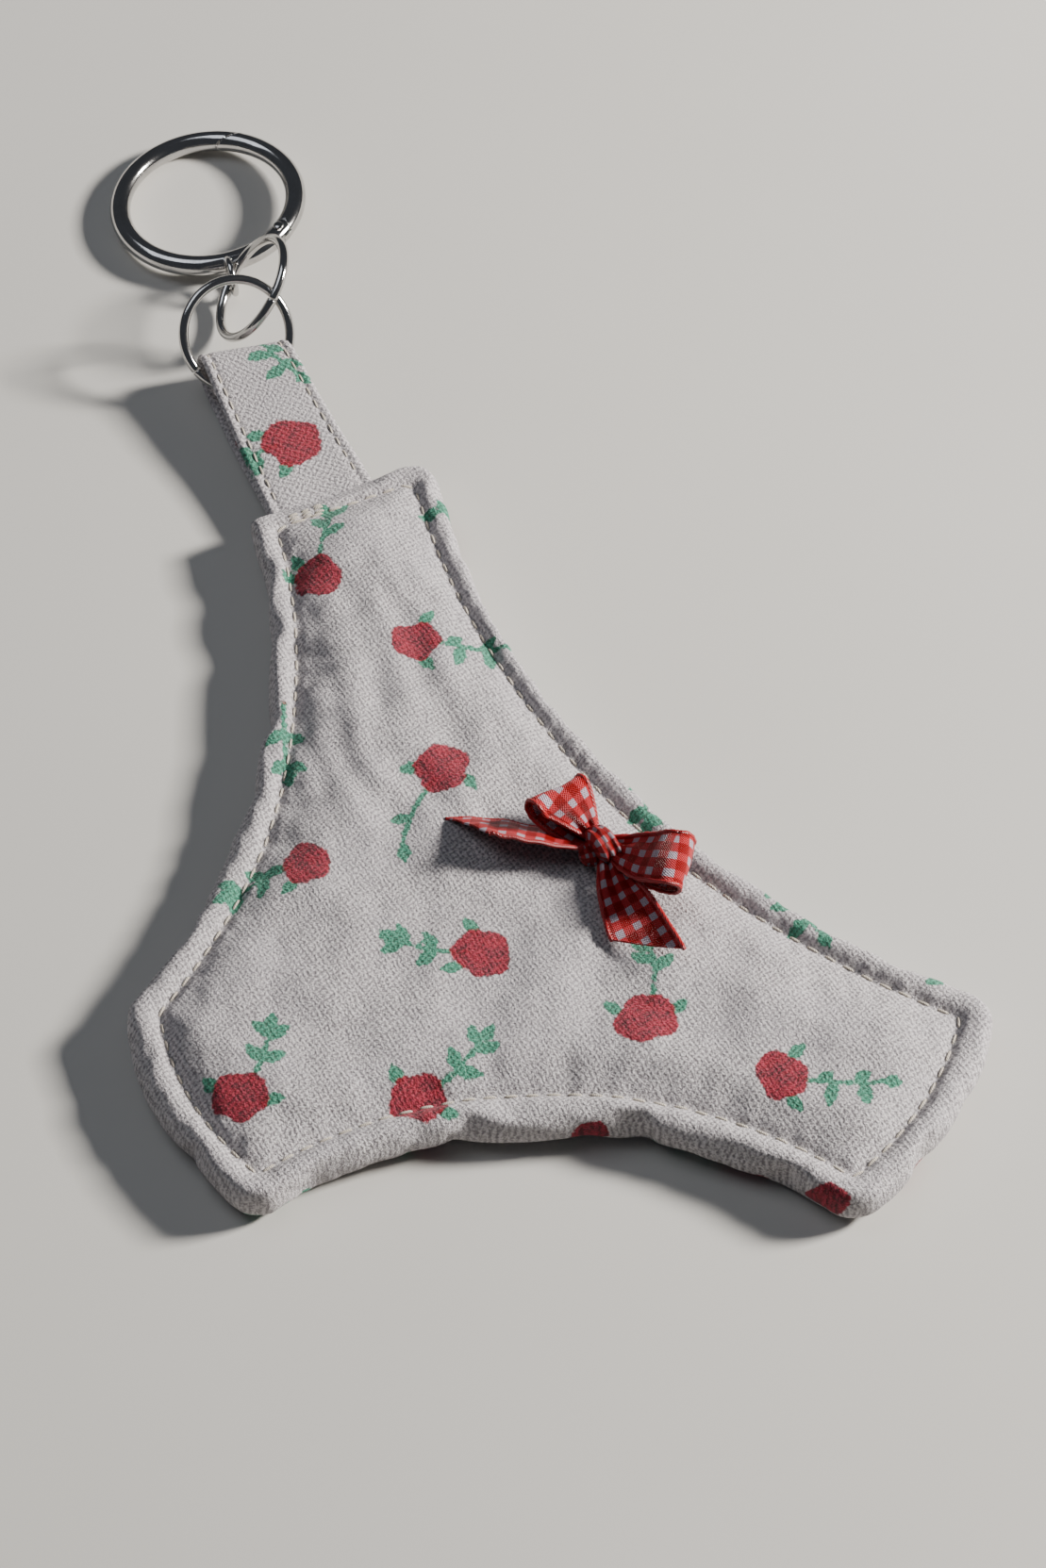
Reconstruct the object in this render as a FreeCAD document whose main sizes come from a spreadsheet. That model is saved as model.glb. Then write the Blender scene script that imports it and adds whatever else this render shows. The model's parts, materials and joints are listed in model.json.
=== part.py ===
import FreeCAD, Part

# Small padded plush charm on a folded strap, hung from a strap ring, a jump ring and a
# spring-gate ring, with a ribbon bow sewn on its front.
# Millimetres. The charm lies on its back: +Z is up out of the front panel, +Y points to the strap end.

import math
import os

import Sketcher
from FreeCAD import Placement, Rotation, Vector

doc = FreeCAD.newDocument("plush_charm")

# ---------------------------------------------------------------- driving dimensions
SIZES = [
    # outline corners before rounding, and the radius of each curved side
    ("neck_left_across", -30.0), ("neck_left_along", 34.4),
    ("neck_right_across", -10.2), ("neck_right_along", 42.2),
    ("left_tip_across", -40.6), ("left_tip_along", -31.4),
    ("left_foot_across", -26.4), ("left_foot_along", -55.6),
    ("right_foot_across", 32.8), ("right_foot_along", -56.0),
    ("right_tip_across", 48.4), ("right_tip_along", -30.8),
    ("left_side_radius", 74.0), ("right_side_radius", 100.0),
    ("left_foot_radius", 36.0), ("right_foot_radius", 40.0),
    ("hollow_radius", 47.0),
    ("corner_radius", 3.0),
    # padded body
    ("pad_thickness", 5.6), ("panel_thickness", 0.8), ("panel_edge_radius", 2.0),
    ("wadding_inset", 0.9), ("wadding_clearance", 0.1), ("wadding_edge_radius", 1.0),
    ("stitch_inset", 3.4), ("thread_diameter", 0.34), ("thread_clearance", 0.12),
    ("seam_inset", 1.25),
    # strap
    ("strap_width", 9.8), ("strap_thickness", 0.8), ("strap_length", 23.7), ("strap_lean", 27.0),
    ("strap_off_centre", 1.85), ("strap_proud", 0.12), ("fold_radius", 3.0), ("fold_height", 3.1),
    ("root_depth", 6.0), ("root_clearance", 0.25), ("strap_hem_inset", 1.0),
    ("bartack_length", 4.2), ("bartack_inset", 3.0),
    # strap ring
    ("ring_wire", 1.1), ("strap_ring_radius", 6.25), ("strap_ring_slope", 44.7),
    ("ring_seat_back", 1.54), ("ring_seat_clearance", 0.57), ("ring_butt_gap", 1.0),
    # jump ring
    ("jump_ring_radius", 6.2), ("jump_lean", 51.3), ("jump_yaw", 1.6), ("jump_link_angle", 31.0),
    ("strap_link_angle", -42.2), ("ring_link_clearance", 0.28),
    # spring-gate ring
    ("gate_ring_radius", 10.4), ("gate_tube", 2.4), ("gate_link_angle", 131.04),
    ("bail_slack", 0.25), ("bail_drop", 0.105), ("gate_tilt", 4.0), ("hinge_angle", -33.0), ("nose_angle", 76.0),
    ("gate_clearance", 0.08), ("tongue_thickness", 0.8), ("hinge_pin_radius", 0.35),
    ("pin_running_clearance", 0.05), ("hinge_pin_length", 2.1),
    ("bail_angle", -75.0), ("bail_radius", 2.0), ("bail_wire", 0.8), ("bail_stand_off", 1.2),
    ("spring_wire", 0.2), ("spring_radius", 0.5), ("spring_length", 3.0), ("spring_pitch", 0.5),
    ("spring_bore_radius", 0.68), ("spring_seat", 1.6),
    # ribbon bow
    ("ribbon_width", 6.0), ("ribbon_thickness", 0.35),
    ("knot_across", 8.4), ("knot_along", -14.2), ("knot_length", 2.8), ("knot_width", 2.2),
    ("knot_depth", 1.7), ("knot_lift", 0.35), ("tack_radius", 0.6), ("bow_clearance", 0.1),
    ("left_loop_length", 9.0), ("left_loop_heading", 128.0), ("left_loop_rise", 22.0),
    ("right_loop_length", 9.4), ("right_loop_heading", -9.0), ("right_loop_rise", 3.0),
    ("loop_radius", 1.75),
    ("left_tail_length", 14.5), ("left_tail_heading", 170.0), ("left_tail_rise", 9.0),
    ("left_tail_roll", -48.0),
    ("right_tail_length", 11.5), ("right_tail_heading", -66.0), ("right_tail_rise", 3.0),
    ("right_tail_roll", 12.0), ("tail_cut", 2.2), ("tail_drop", 1.25), ("tail_waist", 1.6),
]

sheet = doc.addObject("Spreadsheet::Sheet", "Sizes")
for row, (alias, value) in enumerate(SIZES, start=1):
    sheet.set("A%d" % row, alias)
    sheet.set("B%d" % row, repr(value))
    sheet.setAlias("B%d" % row, alias)
doc.recompute()


def size(alias):
    return float(sheet.get(alias))


def bind(obj, **expressions):
    for prop, expression in expressions.items():
        obj.setExpression(prop.replace("__", "."), expression)


def heading(angle):
    """Unit vector in the plan at an angle from +X, in degrees."""
    return Vector(math.cos(math.radians(angle)), math.sin(math.radians(angle)), 0)


UP = Vector(0, 0, 1)

# ---------------------------------------------------------------- padded body
CORNERS = ["neck_left", "left_tip", "left_foot", "right_foot", "right_tip", "neck_right"]
SIDES = [("left_side_radius", 1), ("left_foot_radius", -1), ("hollow_radius", 1),
         ("right_foot_radius", -1), ("right_side_radius", 1)]


def corner(name):
    return Vector(size(name + "_across"), size(name + "_along"), 0)


def side_arc(first, last, radius, side):
    """Arc between two corners that bows to the left (side 1) or right (side -1) of travel."""
    chord = last - first
    left = Vector(-chord.y, chord.x, 0).normalize()
    centre = (first + last) * 0.5 - left * (side * math.sqrt(radius ** 2 - (chord.Length / 2) ** 2))
    start, end = (last, first) if side > 0 else (first, last)
    angles = [math.atan2(point.y - centre.y, point.x - centre.x) for point in (start, end)]
    return Part.ArcOfCircle(Part.Circle(centre, Vector(0, 0, 1), radius), *angles)


def side_end(number, at_last):
    """Which end of a side's arc (1 its start, 2 its end) meets its first or last corner."""
    bows_left = SIDES[number][1] > 0
    return 1 if bows_left == at_last else 2


outline = doc.addObject("Sketcher::SketchObject", "pad_outline")
for number, (radius, side) in enumerate(SIDES):
    outline.addGeometry(side_arc(corner(CORNERS[number]), corner(CORNERS[number + 1]),
                                 size(radius), side), False)
outline.addGeometry(Part.LineSegment(corner("neck_right"), corner("neck_left")), False)
top_edge = len(SIDES)

for number in range(len(SIDES) - 1):
    outline.addConstraint(Sketcher.Constraint(
        "Coincident", number, side_end(number, True), number + 1, side_end(number + 1, False)))
outline.addConstraint(Sketcher.Constraint(
    "Coincident", top_edge - 1, side_end(top_edge - 1, True), top_edge, 1))
outline.addConstraint(Sketcher.Constraint("Coincident", 0, side_end(0, False), top_edge, 2))
for number, name in enumerate(CORNERS):
    point = corner(name)
    place = (number, side_end(number, False)) if number < top_edge else (top_edge, 1)
    for kind, value, alias in (("DistanceX", point.x, "_across"), ("DistanceY", point.y, "_along")):
        index = outline.addConstraint(Sketcher.Constraint(kind, -1, 1, *place, value))
        outline.setExpression("Constraints[%d]" % index, "Sizes." + name + alias)
for number, (radius, side) in enumerate(SIDES):
    index = outline.addConstraint(Sketcher.Constraint("Radius", number, size(radius)))
    outline.setExpression("Constraints[%d]" % index, "Sizes." + radius)


def offset(source, name, distance):
    """Closed outline moved inwards (negative) or outwards by a distance."""
    loop = doc.addObject("Part::Feature", name)
    loop.Shape = Part.Face(source.Shape.Wires[0]).makeOffset2D(distance, join=0).Wires[0]
    return loop


def slab(source, name, height, base):
    """Solid plate over a closed outline, from the base height upwards."""
    plate = doc.addObject("Part::Extrusion", name)
    plate.Base = source
    plate.DirMode = "Custom"
    plate.Dir = UP
    plate.Solid = True
    bind(plate, LengthFwd=height, Placement__Base__z=base)
    return plate


def round_rim(source, name, radius, heights):
    """Fillet every edge of a plate that lies flat at one of the heights."""
    doc.recompute()
    edges = []
    for number, edge in enumerate(source.Shape.Edges, start=1):
        levels = [vertex.Z for vertex in edge.Vertexes]
        flat = max(levels) - min(levels) < 1e-6
        if flat and any(abs(levels[0] - height) < 1e-6 for height in heights):
            edges.append((number, radius, radius))
    fillet = doc.addObject("Part::Fillet", name)
    fillet.Base = source
    fillet.Edges = edges
    return fillet


def cut(name, base, *tools):
    """Base with each tool taken away in turn."""
    result = base
    for number, tool in enumerate(tools):
        step = doc.addObject("Part::Cut", "%s_%d" % (name, number))
        step.Base = result
        step.Tool = tool
        result = step
    result.Label = name
    return result


doc.recompute()
tight = offset(outline, "outline_inset", -size("corner_radius"))
rim = offset(tight, "outline_rounded", size("corner_radius"))
lining = offset(rim, "outline_lining", -size("panel_thickness"))
filling = offset(rim, "outline_filling", -size("panel_thickness") - size("wadding_inset"))
groove_half = size("thread_diameter") / 2 + size("thread_clearance")
groove_outer = offset(rim, "groove_outer", -size("stitch_inset") + groove_half)
groove_inner = offset(rim, "groove_inner", -size("stitch_inset") - groove_half)

pad_middle = "Sizes.pad_thickness / 2"
groove_depth = "(Sizes.thread_diameter + Sizes.thread_clearance / 2)"


def band(name, depth, base):
    """Flat closed band between the two groove outlines."""
    return cut(name, slab(groove_outer, name + "_outer", depth, base),
               slab(groove_inner, name + "_inner", depth, base))


strap_slot = doc.addObject("Part::Box", "strap_slot")
bind(strap_slot, Length="Sizes.strap_width + 2 * Sizes.root_clearance",
     Width="Sizes.root_depth + 20", Height="Sizes.strap_thickness + 2 * Sizes.root_clearance")
strap_yaw = Rotation(UP, size("strap_lean"))
neck_edge = (corner("neck_right") - corner("neck_left")).normalize()
strap_start = ((corner("neck_left") + corner("neck_right")) * 0.5 - neck_edge * size("strap_off_centre")
               + UP.cross(neck_edge) * size("strap_proud") + UP * (size("pad_thickness") / 2))
slot_corner = Vector(-size("strap_width") / 2 - size("root_clearance"), -size("root_depth"),
                     -size("strap_thickness") / 2 - size("root_clearance"))
strap_slot.Placement = Placement(strap_start + strap_yaw.multVec(slot_corner), strap_yaw)


def panel(name, low, bow_side):
    """Cloth skin over one half of the wadding: a shallow tray with a rounded rim."""
    half = size("pad_thickness") / 2
    skin = size("panel_thickness")
    outer_level = size("pad_thickness") if bow_side else 0.0
    inner_level = size("pad_thickness") - skin if bow_side else skin
    shell = slab(rim, name + "_shell", pad_middle, low)
    room_base = pad_middle if bow_side else "Sizes.panel_thickness"
    room = slab(lining, name + "_room", pad_middle + " - Sizes.panel_thickness", room_base)
    groove_base = "Sizes.pad_thickness - " + groove_depth if bow_side else "0"
    groove = band(name + "_groove", groove_depth, groove_base)
    rounded = round_rim(shell, name + "_rounded", size("panel_edge_radius"), [outer_level])
    hollow = round_rim(room, name + "_hollow", size("panel_edge_radius") - skin, [inner_level])
    return cut(name, rounded, hollow, groove, strap_slot)


panel("front_panel", pad_middle, True)
panel("back_panel", "0", False)

core = slab(filling, "wadding_core",
            "Sizes.pad_thickness - 2 * Sizes.panel_thickness - 2 * Sizes.wadding_clearance",
            "Sizes.panel_thickness + Sizes.wadding_clearance")
core_low = size("panel_thickness") + size("wadding_clearance")
soft_core = round_rim(core, "wadding_rounded", size("wadding_edge_radius"),
                      [core_low, size("pad_thickness") - core_low])
cut("wadding", soft_core, strap_slot)


def thread_band(name, line, height):
    """Thread laid as a narrow closed band around the outline at an inset, on a base height."""
    half = size("thread_diameter") / 2
    outer = offset(rim, name + "_out", half - size(line))
    inner = offset(rim, name + "_in", -half - size(line))
    return cut(name, slab(outer, name + "_outer", "Sizes.thread_diameter", height),
               slab(inner, name + "_inner", "Sizes.thread_diameter", height))


edge_topstitch = thread_band("edge_topstitch", "stitch_inset",
                             "Sizes.pad_thickness - Sizes.thread_diameter")
edge_bobbin_thread = thread_band("edge_bobbin_thread", "stitch_inset", "0")
closing_seam = thread_band("closing_seam", "seam_inset",
                           "Sizes.pad_thickness / 2 - Sizes.strap_thickness / 2 - 1")


# ---------------------------------------------------------------- strap and its fold
def body(name):
    part = doc.addObject("PartDesign::Body", name)
    part.Label = name
    return part


def side_sketch(owner, name):
    """Sketch standing on the local XZ plane of a body: X along the piece, Y up."""
    sketch = owner.newObject("Sketcher::SketchObject", name)
    sketch.AttachmentSupport = (owner.Origin.OriginFeatures[4], [""])
    sketch.MapMode = "FlatFace"
    return sketch


def teardrop(sketch, name, near, near_radius, far, far_radius):
    """Closed loop of two arcs and their outer tangents. near and far are (x, y) expression pairs."""
    values = {}
    for key, expression in (("nx", near[0]), ("ny", near[1]), ("nr", near_radius),
                            ("fx", far[0]), ("fy", far[1]), ("fr", far_radius)):
        values[key] = evaluate(expression)
    small = Vector(values["nx"], values["ny"], 0)
    large = Vector(values["fx"], values["fy"], 0)
    line = large - small
    turn = math.degrees(math.asin((values["fr"] - values["nr"]) / line.Length))
    course = math.degrees(math.atan2(line.y, line.x))
    up = heading(course + 90 + turn)
    down = heading(course - 90 - turn)
    first = len(sketch.Geometry)

    def arc(centre, radius, start, end):
        circle = Part.Circle(centre, Vector(0, 0, 1), radius)
        return Part.ArcOfCircle(circle, math.radians(start), math.radians(end))

    sketch.addGeometry(arc(large, values["fr"], course - 90 - turn, course + 90 + turn), False)
    sketch.addGeometry(Part.LineSegment(large + up * values["fr"], small + up * values["nr"]), False)
    sketch.addGeometry(arc(small, values["nr"], course + 90 + turn, course + 270 - turn), False)
    sketch.addGeometry(Part.LineSegment(small + down * values["nr"], large + down * values["fr"]),
                       False)
    for one, end_one, two, end_two in ((0, 2, 1, 1), (1, 2, 2, 1), (2, 2, 3, 1), (3, 2, 0, 1)):
        sketch.addConstraint(Sketcher.Constraint("Tangent", first + one, end_one,
                                                 first + two, end_two))
    for geometry, centre, radius in ((2, near, near_radius), (0, far, far_radius)):
        spot = small if geometry == 2 else large
        value = values["nr"] if geometry == 2 else values["fr"]
        for kind, number, expression in (("DistanceX", spot.x, centre[0]),
                                         ("DistanceY", spot.y, centre[1])):
            index = sketch.addConstraint(Sketcher.Constraint(kind, -1, 1, first + geometry, 3,
                                                             number))
            sketch.setExpression("Constraints[%d]" % index, expression)
        index = sketch.addConstraint(Sketcher.Constraint("Radius", first + geometry, value))
        sketch.setExpression("Constraints[%d]" % index, radius)


scratch = doc.addObject("App::FeaturePython", "evaluator")


def evaluate(expression):
    """Value of a sheet expression now."""
    return float(getattr(scratch.evalExpression(expression), "Value",
                         scratch.evalExpression(expression)))


def pad_both_ways(owner, sketch, name, length):
    extrusion = owner.newObject("PartDesign::Pad", name)
    extrusion.Profile = sketch
    extrusion.Midplane = True
    bind(extrusion, Length=length)
    sketch.Visibility = False
    return extrusion


strap = body("strap_loop")
strap_side = side_sketch(strap, "strap_side")
fold_rise = "(Sizes.fold_height - Sizes.pad_thickness / 2)"
fold_centre = "Sizes.strap_length - Sizes.fold_radius"
teardrop(strap_side, "outer", ("Sizes.strap_thickness / 2 + Sizes.root_clearance * 2", "0"),
         "Sizes.strap_thickness / 2", (fold_centre, fold_rise), "Sizes.fold_radius")
teardrop(strap_side, "inner", ("Sizes.strap_thickness * 6", fold_rise + " * 0.2"),
         "Sizes.strap_thickness / 8", (fold_centre, fold_rise),
         "Sizes.fold_radius - Sizes.strap_thickness")
pad_both_ways(strap, strap_side, "strap_pad", "Sizes.strap_width")
strap_turn = Rotation(UP, 90 + size("strap_lean"))
strap.Placement = Placement(strap_start, strap_turn)

strap_root = doc.addObject("Part::Box", "strap_root")
bind(strap_root, Length="Sizes.strap_width", Width="Sizes.root_depth - Sizes.root_clearance * 2",
     Height="Sizes.strap_thickness")
root_corner = Vector(-size("strap_width") / 2, -size("root_depth") + size("root_clearance"),
                     -size("strap_thickness") / 2)
strap_root.Placement = Placement(strap_start + strap_yaw.multVec(root_corner), strap_yaw)


def along_strap(reach, sideways, height):
    """Place given by reach along the strap, sideways to its right and height over the strap's root."""
    right = heading(size("strap_lean"))
    forward = heading(90 + size("strap_lean"))
    return strap_start + forward * reach + right * sideways + UP * height


# stitching on the front leg of the strap: one thread along each long edge
leg_start = Vector(size("strap_thickness") / 2 + size("root_clearance") * 2, 0, 0)
leg_end = Vector(size("strap_length") - size("fold_radius"),
                 size("fold_height") - size("pad_thickness") / 2, 0)
leg = leg_end - leg_start
leg_spread = math.asin((size("fold_radius") - size("strap_thickness") / 2) / leg.Length)
leg_angle = math.atan2(leg.y, leg.x) + leg_spread
leg_length = leg.Length * math.cos(leg_spread)
thread_radius = size("thread_diameter") / 2
leg_foot = (leg_start + Vector(-math.sin(leg_angle), math.cos(leg_angle), 0)
            * (size("strap_thickness") / 2 + thread_radius + 0.02))
for side, name in ((-1, "strap_stitch_left"), (1, "strap_stitch_right")):
    stitch = doc.addObject("Part::Cylinder", name)
    bind(stitch, Radius="Sizes.thread_diameter / 2")
    stitch.Height = leg_length
    forward = heading(90 + size("strap_lean"))
    lie = forward * math.cos(leg_angle) + UP * math.sin(leg_angle)
    edge_place = side * (size("strap_width") / 2 - size("strap_hem_inset"))
    stitch.Placement = Placement(along_strap(leg_foot.x, edge_place, leg_foot.y), Rotation(UP, lie))

bartack = doc.addObject("Part::Box", "strap_bartack")
bind(bartack, Length="Sizes.bartack_length", Width="Sizes.thread_diameter * 1.5",
     Height="Sizes.thread_diameter")
tack_spot = along_strap(-size("bartack_inset"), -size("strap_width") / 2 - 1, size("pad_thickness") / 2)
bartack.Placement = Placement(tack_spot, strap_yaw)


# ---------------------------------------------------------------- rings
def wire_ring(name, radius, centre, turn):
    """Round-wire ring with a closed butt joint."""
    ring = doc.addObject("Part::Torus", name)
    bind(ring, Radius1=radius, Radius2="Sizes.ring_wire / 2", Angle3="360 - Sizes.ring_butt_gap")
    ring.Placement = Placement(centre, turn)
    return ring


def ring_point(centre, turn, radius, angle):
    """Point of a ring's plane at a radius and an angle from its local X."""
    return centre + turn.multVec(heading(angle) * radius)


# the strap ring's lowest point lies in the fold, clear of the cloth
ring_turn = strap_yaw.multiply(Rotation(Vector(1, 0, 0), size("strap_ring_slope")))
seat_drop = (size("fold_radius") - size("strap_thickness") - size("ring_wire") / 2
             - size("ring_seat_clearance"))
ring_seat = along_strap(size("strap_length") - size("fold_radius") - size("ring_seat_back"), 0,
                        evaluate(fold_rise) - seat_drop)
ring_centre = ring_point(ring_seat, ring_turn, size("strap_ring_radius"), 90)
wire_ring("strap_ring", "Sizes.strap_ring_radius", ring_centre, ring_turn)

# the jump ring hangs inside the strap ring's wire at their link
jump_turn = Rotation(UP, size("jump_yaw")).multiply(Rotation(Vector(0, 1, 0), -size("jump_lean")))
jump_link = ring_point(ring_centre, ring_turn, size("strap_ring_radius"), size("jump_link_angle"))
jump_hang = size("jump_ring_radius") - size("ring_wire") - size("ring_link_clearance")
jump_centre = ring_point(jump_link, jump_turn, -jump_hang, size("strap_link_angle"))
wire_ring("jump_ring", "Sizes.jump_ring_radius", jump_centre, jump_turn)

# the spring-gate ring is modelled flat about its own centre, then placed on the table
gate_turn = Rotation(Vector(0.4, 0.917, 0), -size("gate_tilt"))
gate_link = ring_point(jump_centre, jump_turn, size("jump_ring_radius"), size("gate_link_angle"))
bail_reach = size("gate_ring_radius") + size("gate_tube") / 2 + size("bail_stand_off")
gate_centre = (ring_point(gate_link, gate_turn, -bail_reach - size("bail_slack"),
                          size("bail_angle")) - UP * size("bail_drop"))
gate_place = Placement(gate_centre, gate_turn)
tube_radius = size("gate_tube") / 2
hinge_spot = heading(size("hinge_angle")) * size("gate_ring_radius")
nose_spot = heading(size("nose_angle")) * size("gate_ring_radius")
swing_radius = (nose_spot - hinge_spot).Length
clearance = size("gate_clearance")


def disc(radius, height, centre):
    """Cylinder about an upright axis, centred on the ring's plane."""
    return Part.makeCylinder(radius, height, centre - UP * (height / 2), UP)


tall = size("gate_tube") * 2
tube_ring = Part.makeTorus(size("gate_ring_radius"), tube_radius)
gate_side = Part.makeBox(80, 80, tall, Vector(0, -40, -tall / 2))
gate_side.Placement = Placement(hinge_spot, Rotation(UP, size("hinge_angle") + 90))
knuckle = disc(tube_radius, tall, hinge_spot)
opening = disc(swing_radius + clearance / 2, tall, hinge_spot).common(gate_side).cut(knuckle)
tongue_room = disc(tube_radius + clearance, size("tongue_thickness") + 2 * clearance, hinge_spot)
pin_hole = disc(size("hinge_pin_radius"), tall, hinge_spot)

seat_from = heading(size("hinge_angle") - math.degrees(size("spring_seat") /
                    size("gate_ring_radius"))) * size("gate_ring_radius")
seat_to = heading(size("hinge_angle") - math.degrees((size("spring_seat") + size("spring_length")) /
                  size("gate_ring_radius"))) * size("gate_ring_radius")
spring_axis = (seat_to - seat_from).normalize()
spring_bore = Part.makeCylinder(size("spring_bore_radius"), size("spring_length") + clearance * 2 + 0.6,
                                seat_from - spring_axis * (clearance + 0.6), spring_axis)

bail_out = heading(size("bail_angle"))
bail_along = Vector(-bail_out.y, bail_out.x, 0)
bail = Part.makeTorus(size("bail_radius"), size("bail_wire") / 2, bail_out * bail_reach,
                      bail_along)
frame_shape = tube_ring.cut(opening).cut(tongue_room).cut(spring_bore).fuse(bail)
frame_shape = frame_shape.cut(pin_hole).removeSplitter()


def placed(name, shape):
    """A piece of the gate ring whose form is made of boolean cuts, set at the ring's place."""
    piece = doc.addObject("Part::Feature", name)
    piece.Shape = shape
    piece.Placement = gate_place.multiply(shape.Placement)
    return piece


placed("gate_ring_frame", frame_shape)

arm_zone = disc(swing_radius - clearance / 2, tall, hinge_spot).common(gate_side)
arm = tube_ring.common(arm_zone).cut(disc(tube_radius + clearance, tall, hinge_spot))
tongue = disc(tube_radius, size("tongue_thickness"), hinge_spot)
web = tube_ring.common(disc(tube_radius * 2, size("tongue_thickness"), hinge_spot)).common(gate_side)
arm = arm.fuse(tongue).fuse(web)
arm = arm.cut(disc(size("hinge_pin_radius") + size("pin_running_clearance"), tall, hinge_spot))
placed("gate_arm", arm.removeSplitter())

pin = doc.addObject("Part::Cylinder", "gate_hinge_pin")
bind(pin, Radius="Sizes.hinge_pin_radius", Height="Sizes.hinge_pin_length")
pin.Placement = gate_place.multiply(
    Placement(hinge_spot - UP * (size("hinge_pin_length") / 2), Rotation()))

coil = Part.makeHelix(size("spring_pitch"), size("spring_length") - size("spring_wire"),
                      size("spring_radius"))
coil_start = Part.Wire(Part.makeCircle(size("spring_wire") / 2, Vector(size("spring_radius"), 0, 0),
                                       Vector(0, 1, 0)))
spring_shape = Part.Wire(coil.Edges).makePipeShell([coil_start], True, True)
spring = doc.addObject("Part::Feature", "gate_spring")
spring.Shape = spring_shape
spring.Placement = gate_place.multiply(
    Placement(seat_from + spring_axis * (size("spring_wire") / 2), Rotation(UP, spring_axis)))

# ---------------------------------------------------------------- ribbon bow
knot_centre = Vector(size("knot_across"), size("knot_along"),
                     size("pad_thickness") + size("knot_lift") + size("knot_depth"))
knot = doc.addObject("Part::Ellipsoid", "bow_knot")
bind(knot, Radius1="Sizes.knot_depth", Radius2="Sizes.knot_length", Radius3="Sizes.knot_width")
knot.Placement = Placement(knot_centre, Rotation(UP, 24))

tack = doc.addObject("Part::Cylinder", "bow_tack_thread")
bind(tack, Radius="Sizes.tack_radius", Height="Sizes.knot_lift - Sizes.bow_clearance / 2")
tack.Placement = Placement(Vector(knot_centre.x, knot_centre.y, size("pad_thickness")), Rotation())


def ribbon_turn(name):
    """Heading, then rise, of a ribbon piece whose own X runs out of the knot."""
    turn = Rotation(UP, size(name + "_heading"))
    return turn.multiply(Rotation(Vector(0, 1, 0), -size(name + "_rise")))


def bow_loop(name):
    """Ribbon folded back on itself, open at both sides."""
    owner = body("bow_" + name)
    profile = side_sketch(owner, "bow_" + name + "_side")
    start = "Sizes.knot_length + Sizes.bow_clearance + Sizes.ribbon_thickness * 1.2"
    far = "Sizes.%s_length - Sizes.loop_radius" % name
    teardrop(profile, "outer", (start, "0"), "Sizes.ribbon_thickness * 1.2", (far, "0"),
             "Sizes.loop_radius")
    teardrop(profile, "inner", (start + " + Sizes.ribbon_thickness * 2", "0"),
             "Sizes.ribbon_thickness * 0.4", (far, "0"), "Sizes.loop_radius - Sizes.ribbon_thickness")
    pad_both_ways(owner, profile, "bow_" + name + "_pad", "Sizes.ribbon_width")
    owner.Placement = Placement(knot_centre, ribbon_turn(name))
    return owner


def bow_tail(name):
    """Flat length of ribbon that leaves the knot and ends in a slanted cut."""
    owner = body("bow_" + name)
    profile = owner.newObject("Sketcher::SketchObject", "bow_" + name + "_plan")
    profile.AttachmentSupport = (owner.Origin.OriginFeatures[3], [""])
    profile.MapMode = "FlatFace"
    near = "Sizes.knot_length + Sizes.bow_clearance"
    far = "Sizes.%s_length + Sizes.knot_length" % name
    corners = [(near, "-Sizes.tail_waist / 2"), (far + " - Sizes.tail_cut", "-Sizes.ribbon_width / 2"),
               (far, "Sizes.ribbon_width / 2"), (near, "Sizes.tail_waist / 2")]
    points = [Vector(evaluate(x), evaluate(y), 0) for x, y in corners]
    for number in range(4):
        profile.addGeometry(Part.LineSegment(points[number], points[(number + 1) % 4]), False)
    for number in range(4):
        profile.addConstraint(Sketcher.Constraint("Coincident", number, 2, (number + 1) % 4, 1))
        for kind, value, expression in (("DistanceX", points[number].x, corners[number][0]),
                                        ("DistanceY", points[number].y, corners[number][1])):
            index = profile.addConstraint(Sketcher.Constraint(kind, -1, 1, number, 1, value))
            profile.setExpression("Constraints[%d]" % index, expression)
    pad_both_ways(owner, profile, "bow_" + name + "_pad", "Sizes.ribbon_thickness")
    turn = ribbon_turn(name).multiply(Rotation(Vector(1, 0, 0), size(name + "_roll")))
    owner.Placement = Placement(knot_centre - UP * size("tail_drop"), turn)
    return owner


for loop_name in ("left_loop", "right_loop"):
    bow_loop(loop_name)
for tail_name in ("left_tail", "right_tail"):
    bow_tail(tail_name)

# ---------------------------------------------------------------- check and export
NODES = ["front_panel", "back_panel", "wadding", "closing_seam", "edge_topstitch",
         "edge_bobbin_thread", "strap_root", "strap_bartack", "strap_loop", "strap_stitch_left",
         "strap_stitch_right", "strap_ring", "jump_ring", "gate_ring_frame", "gate_arm",
         "gate_hinge_pin", "gate_spring", "bow_knot", "bow_left_loop", "bow_right_loop",
         "bow_left_tail", "bow_right_tail", "bow_tack_thread"]

doc.recompute()
for item in doc.Objects:
    if "Invalid" in item.State or "Error" in item.State:
        raise RuntimeError("%s: %s" % (item.Name, item.State))

os.makedirs("parts", exist_ok=True)
for node in NODES:
    shape = doc.getObjectsByLabel(node)[0].Shape
    if shape.isNull() or not shape.isValid():
        raise RuntimeError("bad shape: " + node)
    shape.exportStep("parts/%s.step" % node)
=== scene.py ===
"""Looks of a small padded cloth charm hung from a chain of rings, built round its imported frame.

The charm is a flat stuffed shape of printed brushed knit with a sewn edge, a folded strap, a gingham
ribbon bow, two wire rings and a spring-gate ring. Lengths in the classes are millimetres; meshes are in
metres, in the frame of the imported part.
"""

import json
import logging
import math
from dataclasses import dataclass, field
from enum import Enum

import bmesh
import bpy
import numpy as np
from mathutils import Matrix, Vector
from mathutils.bvhtree import BVHTree


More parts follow.
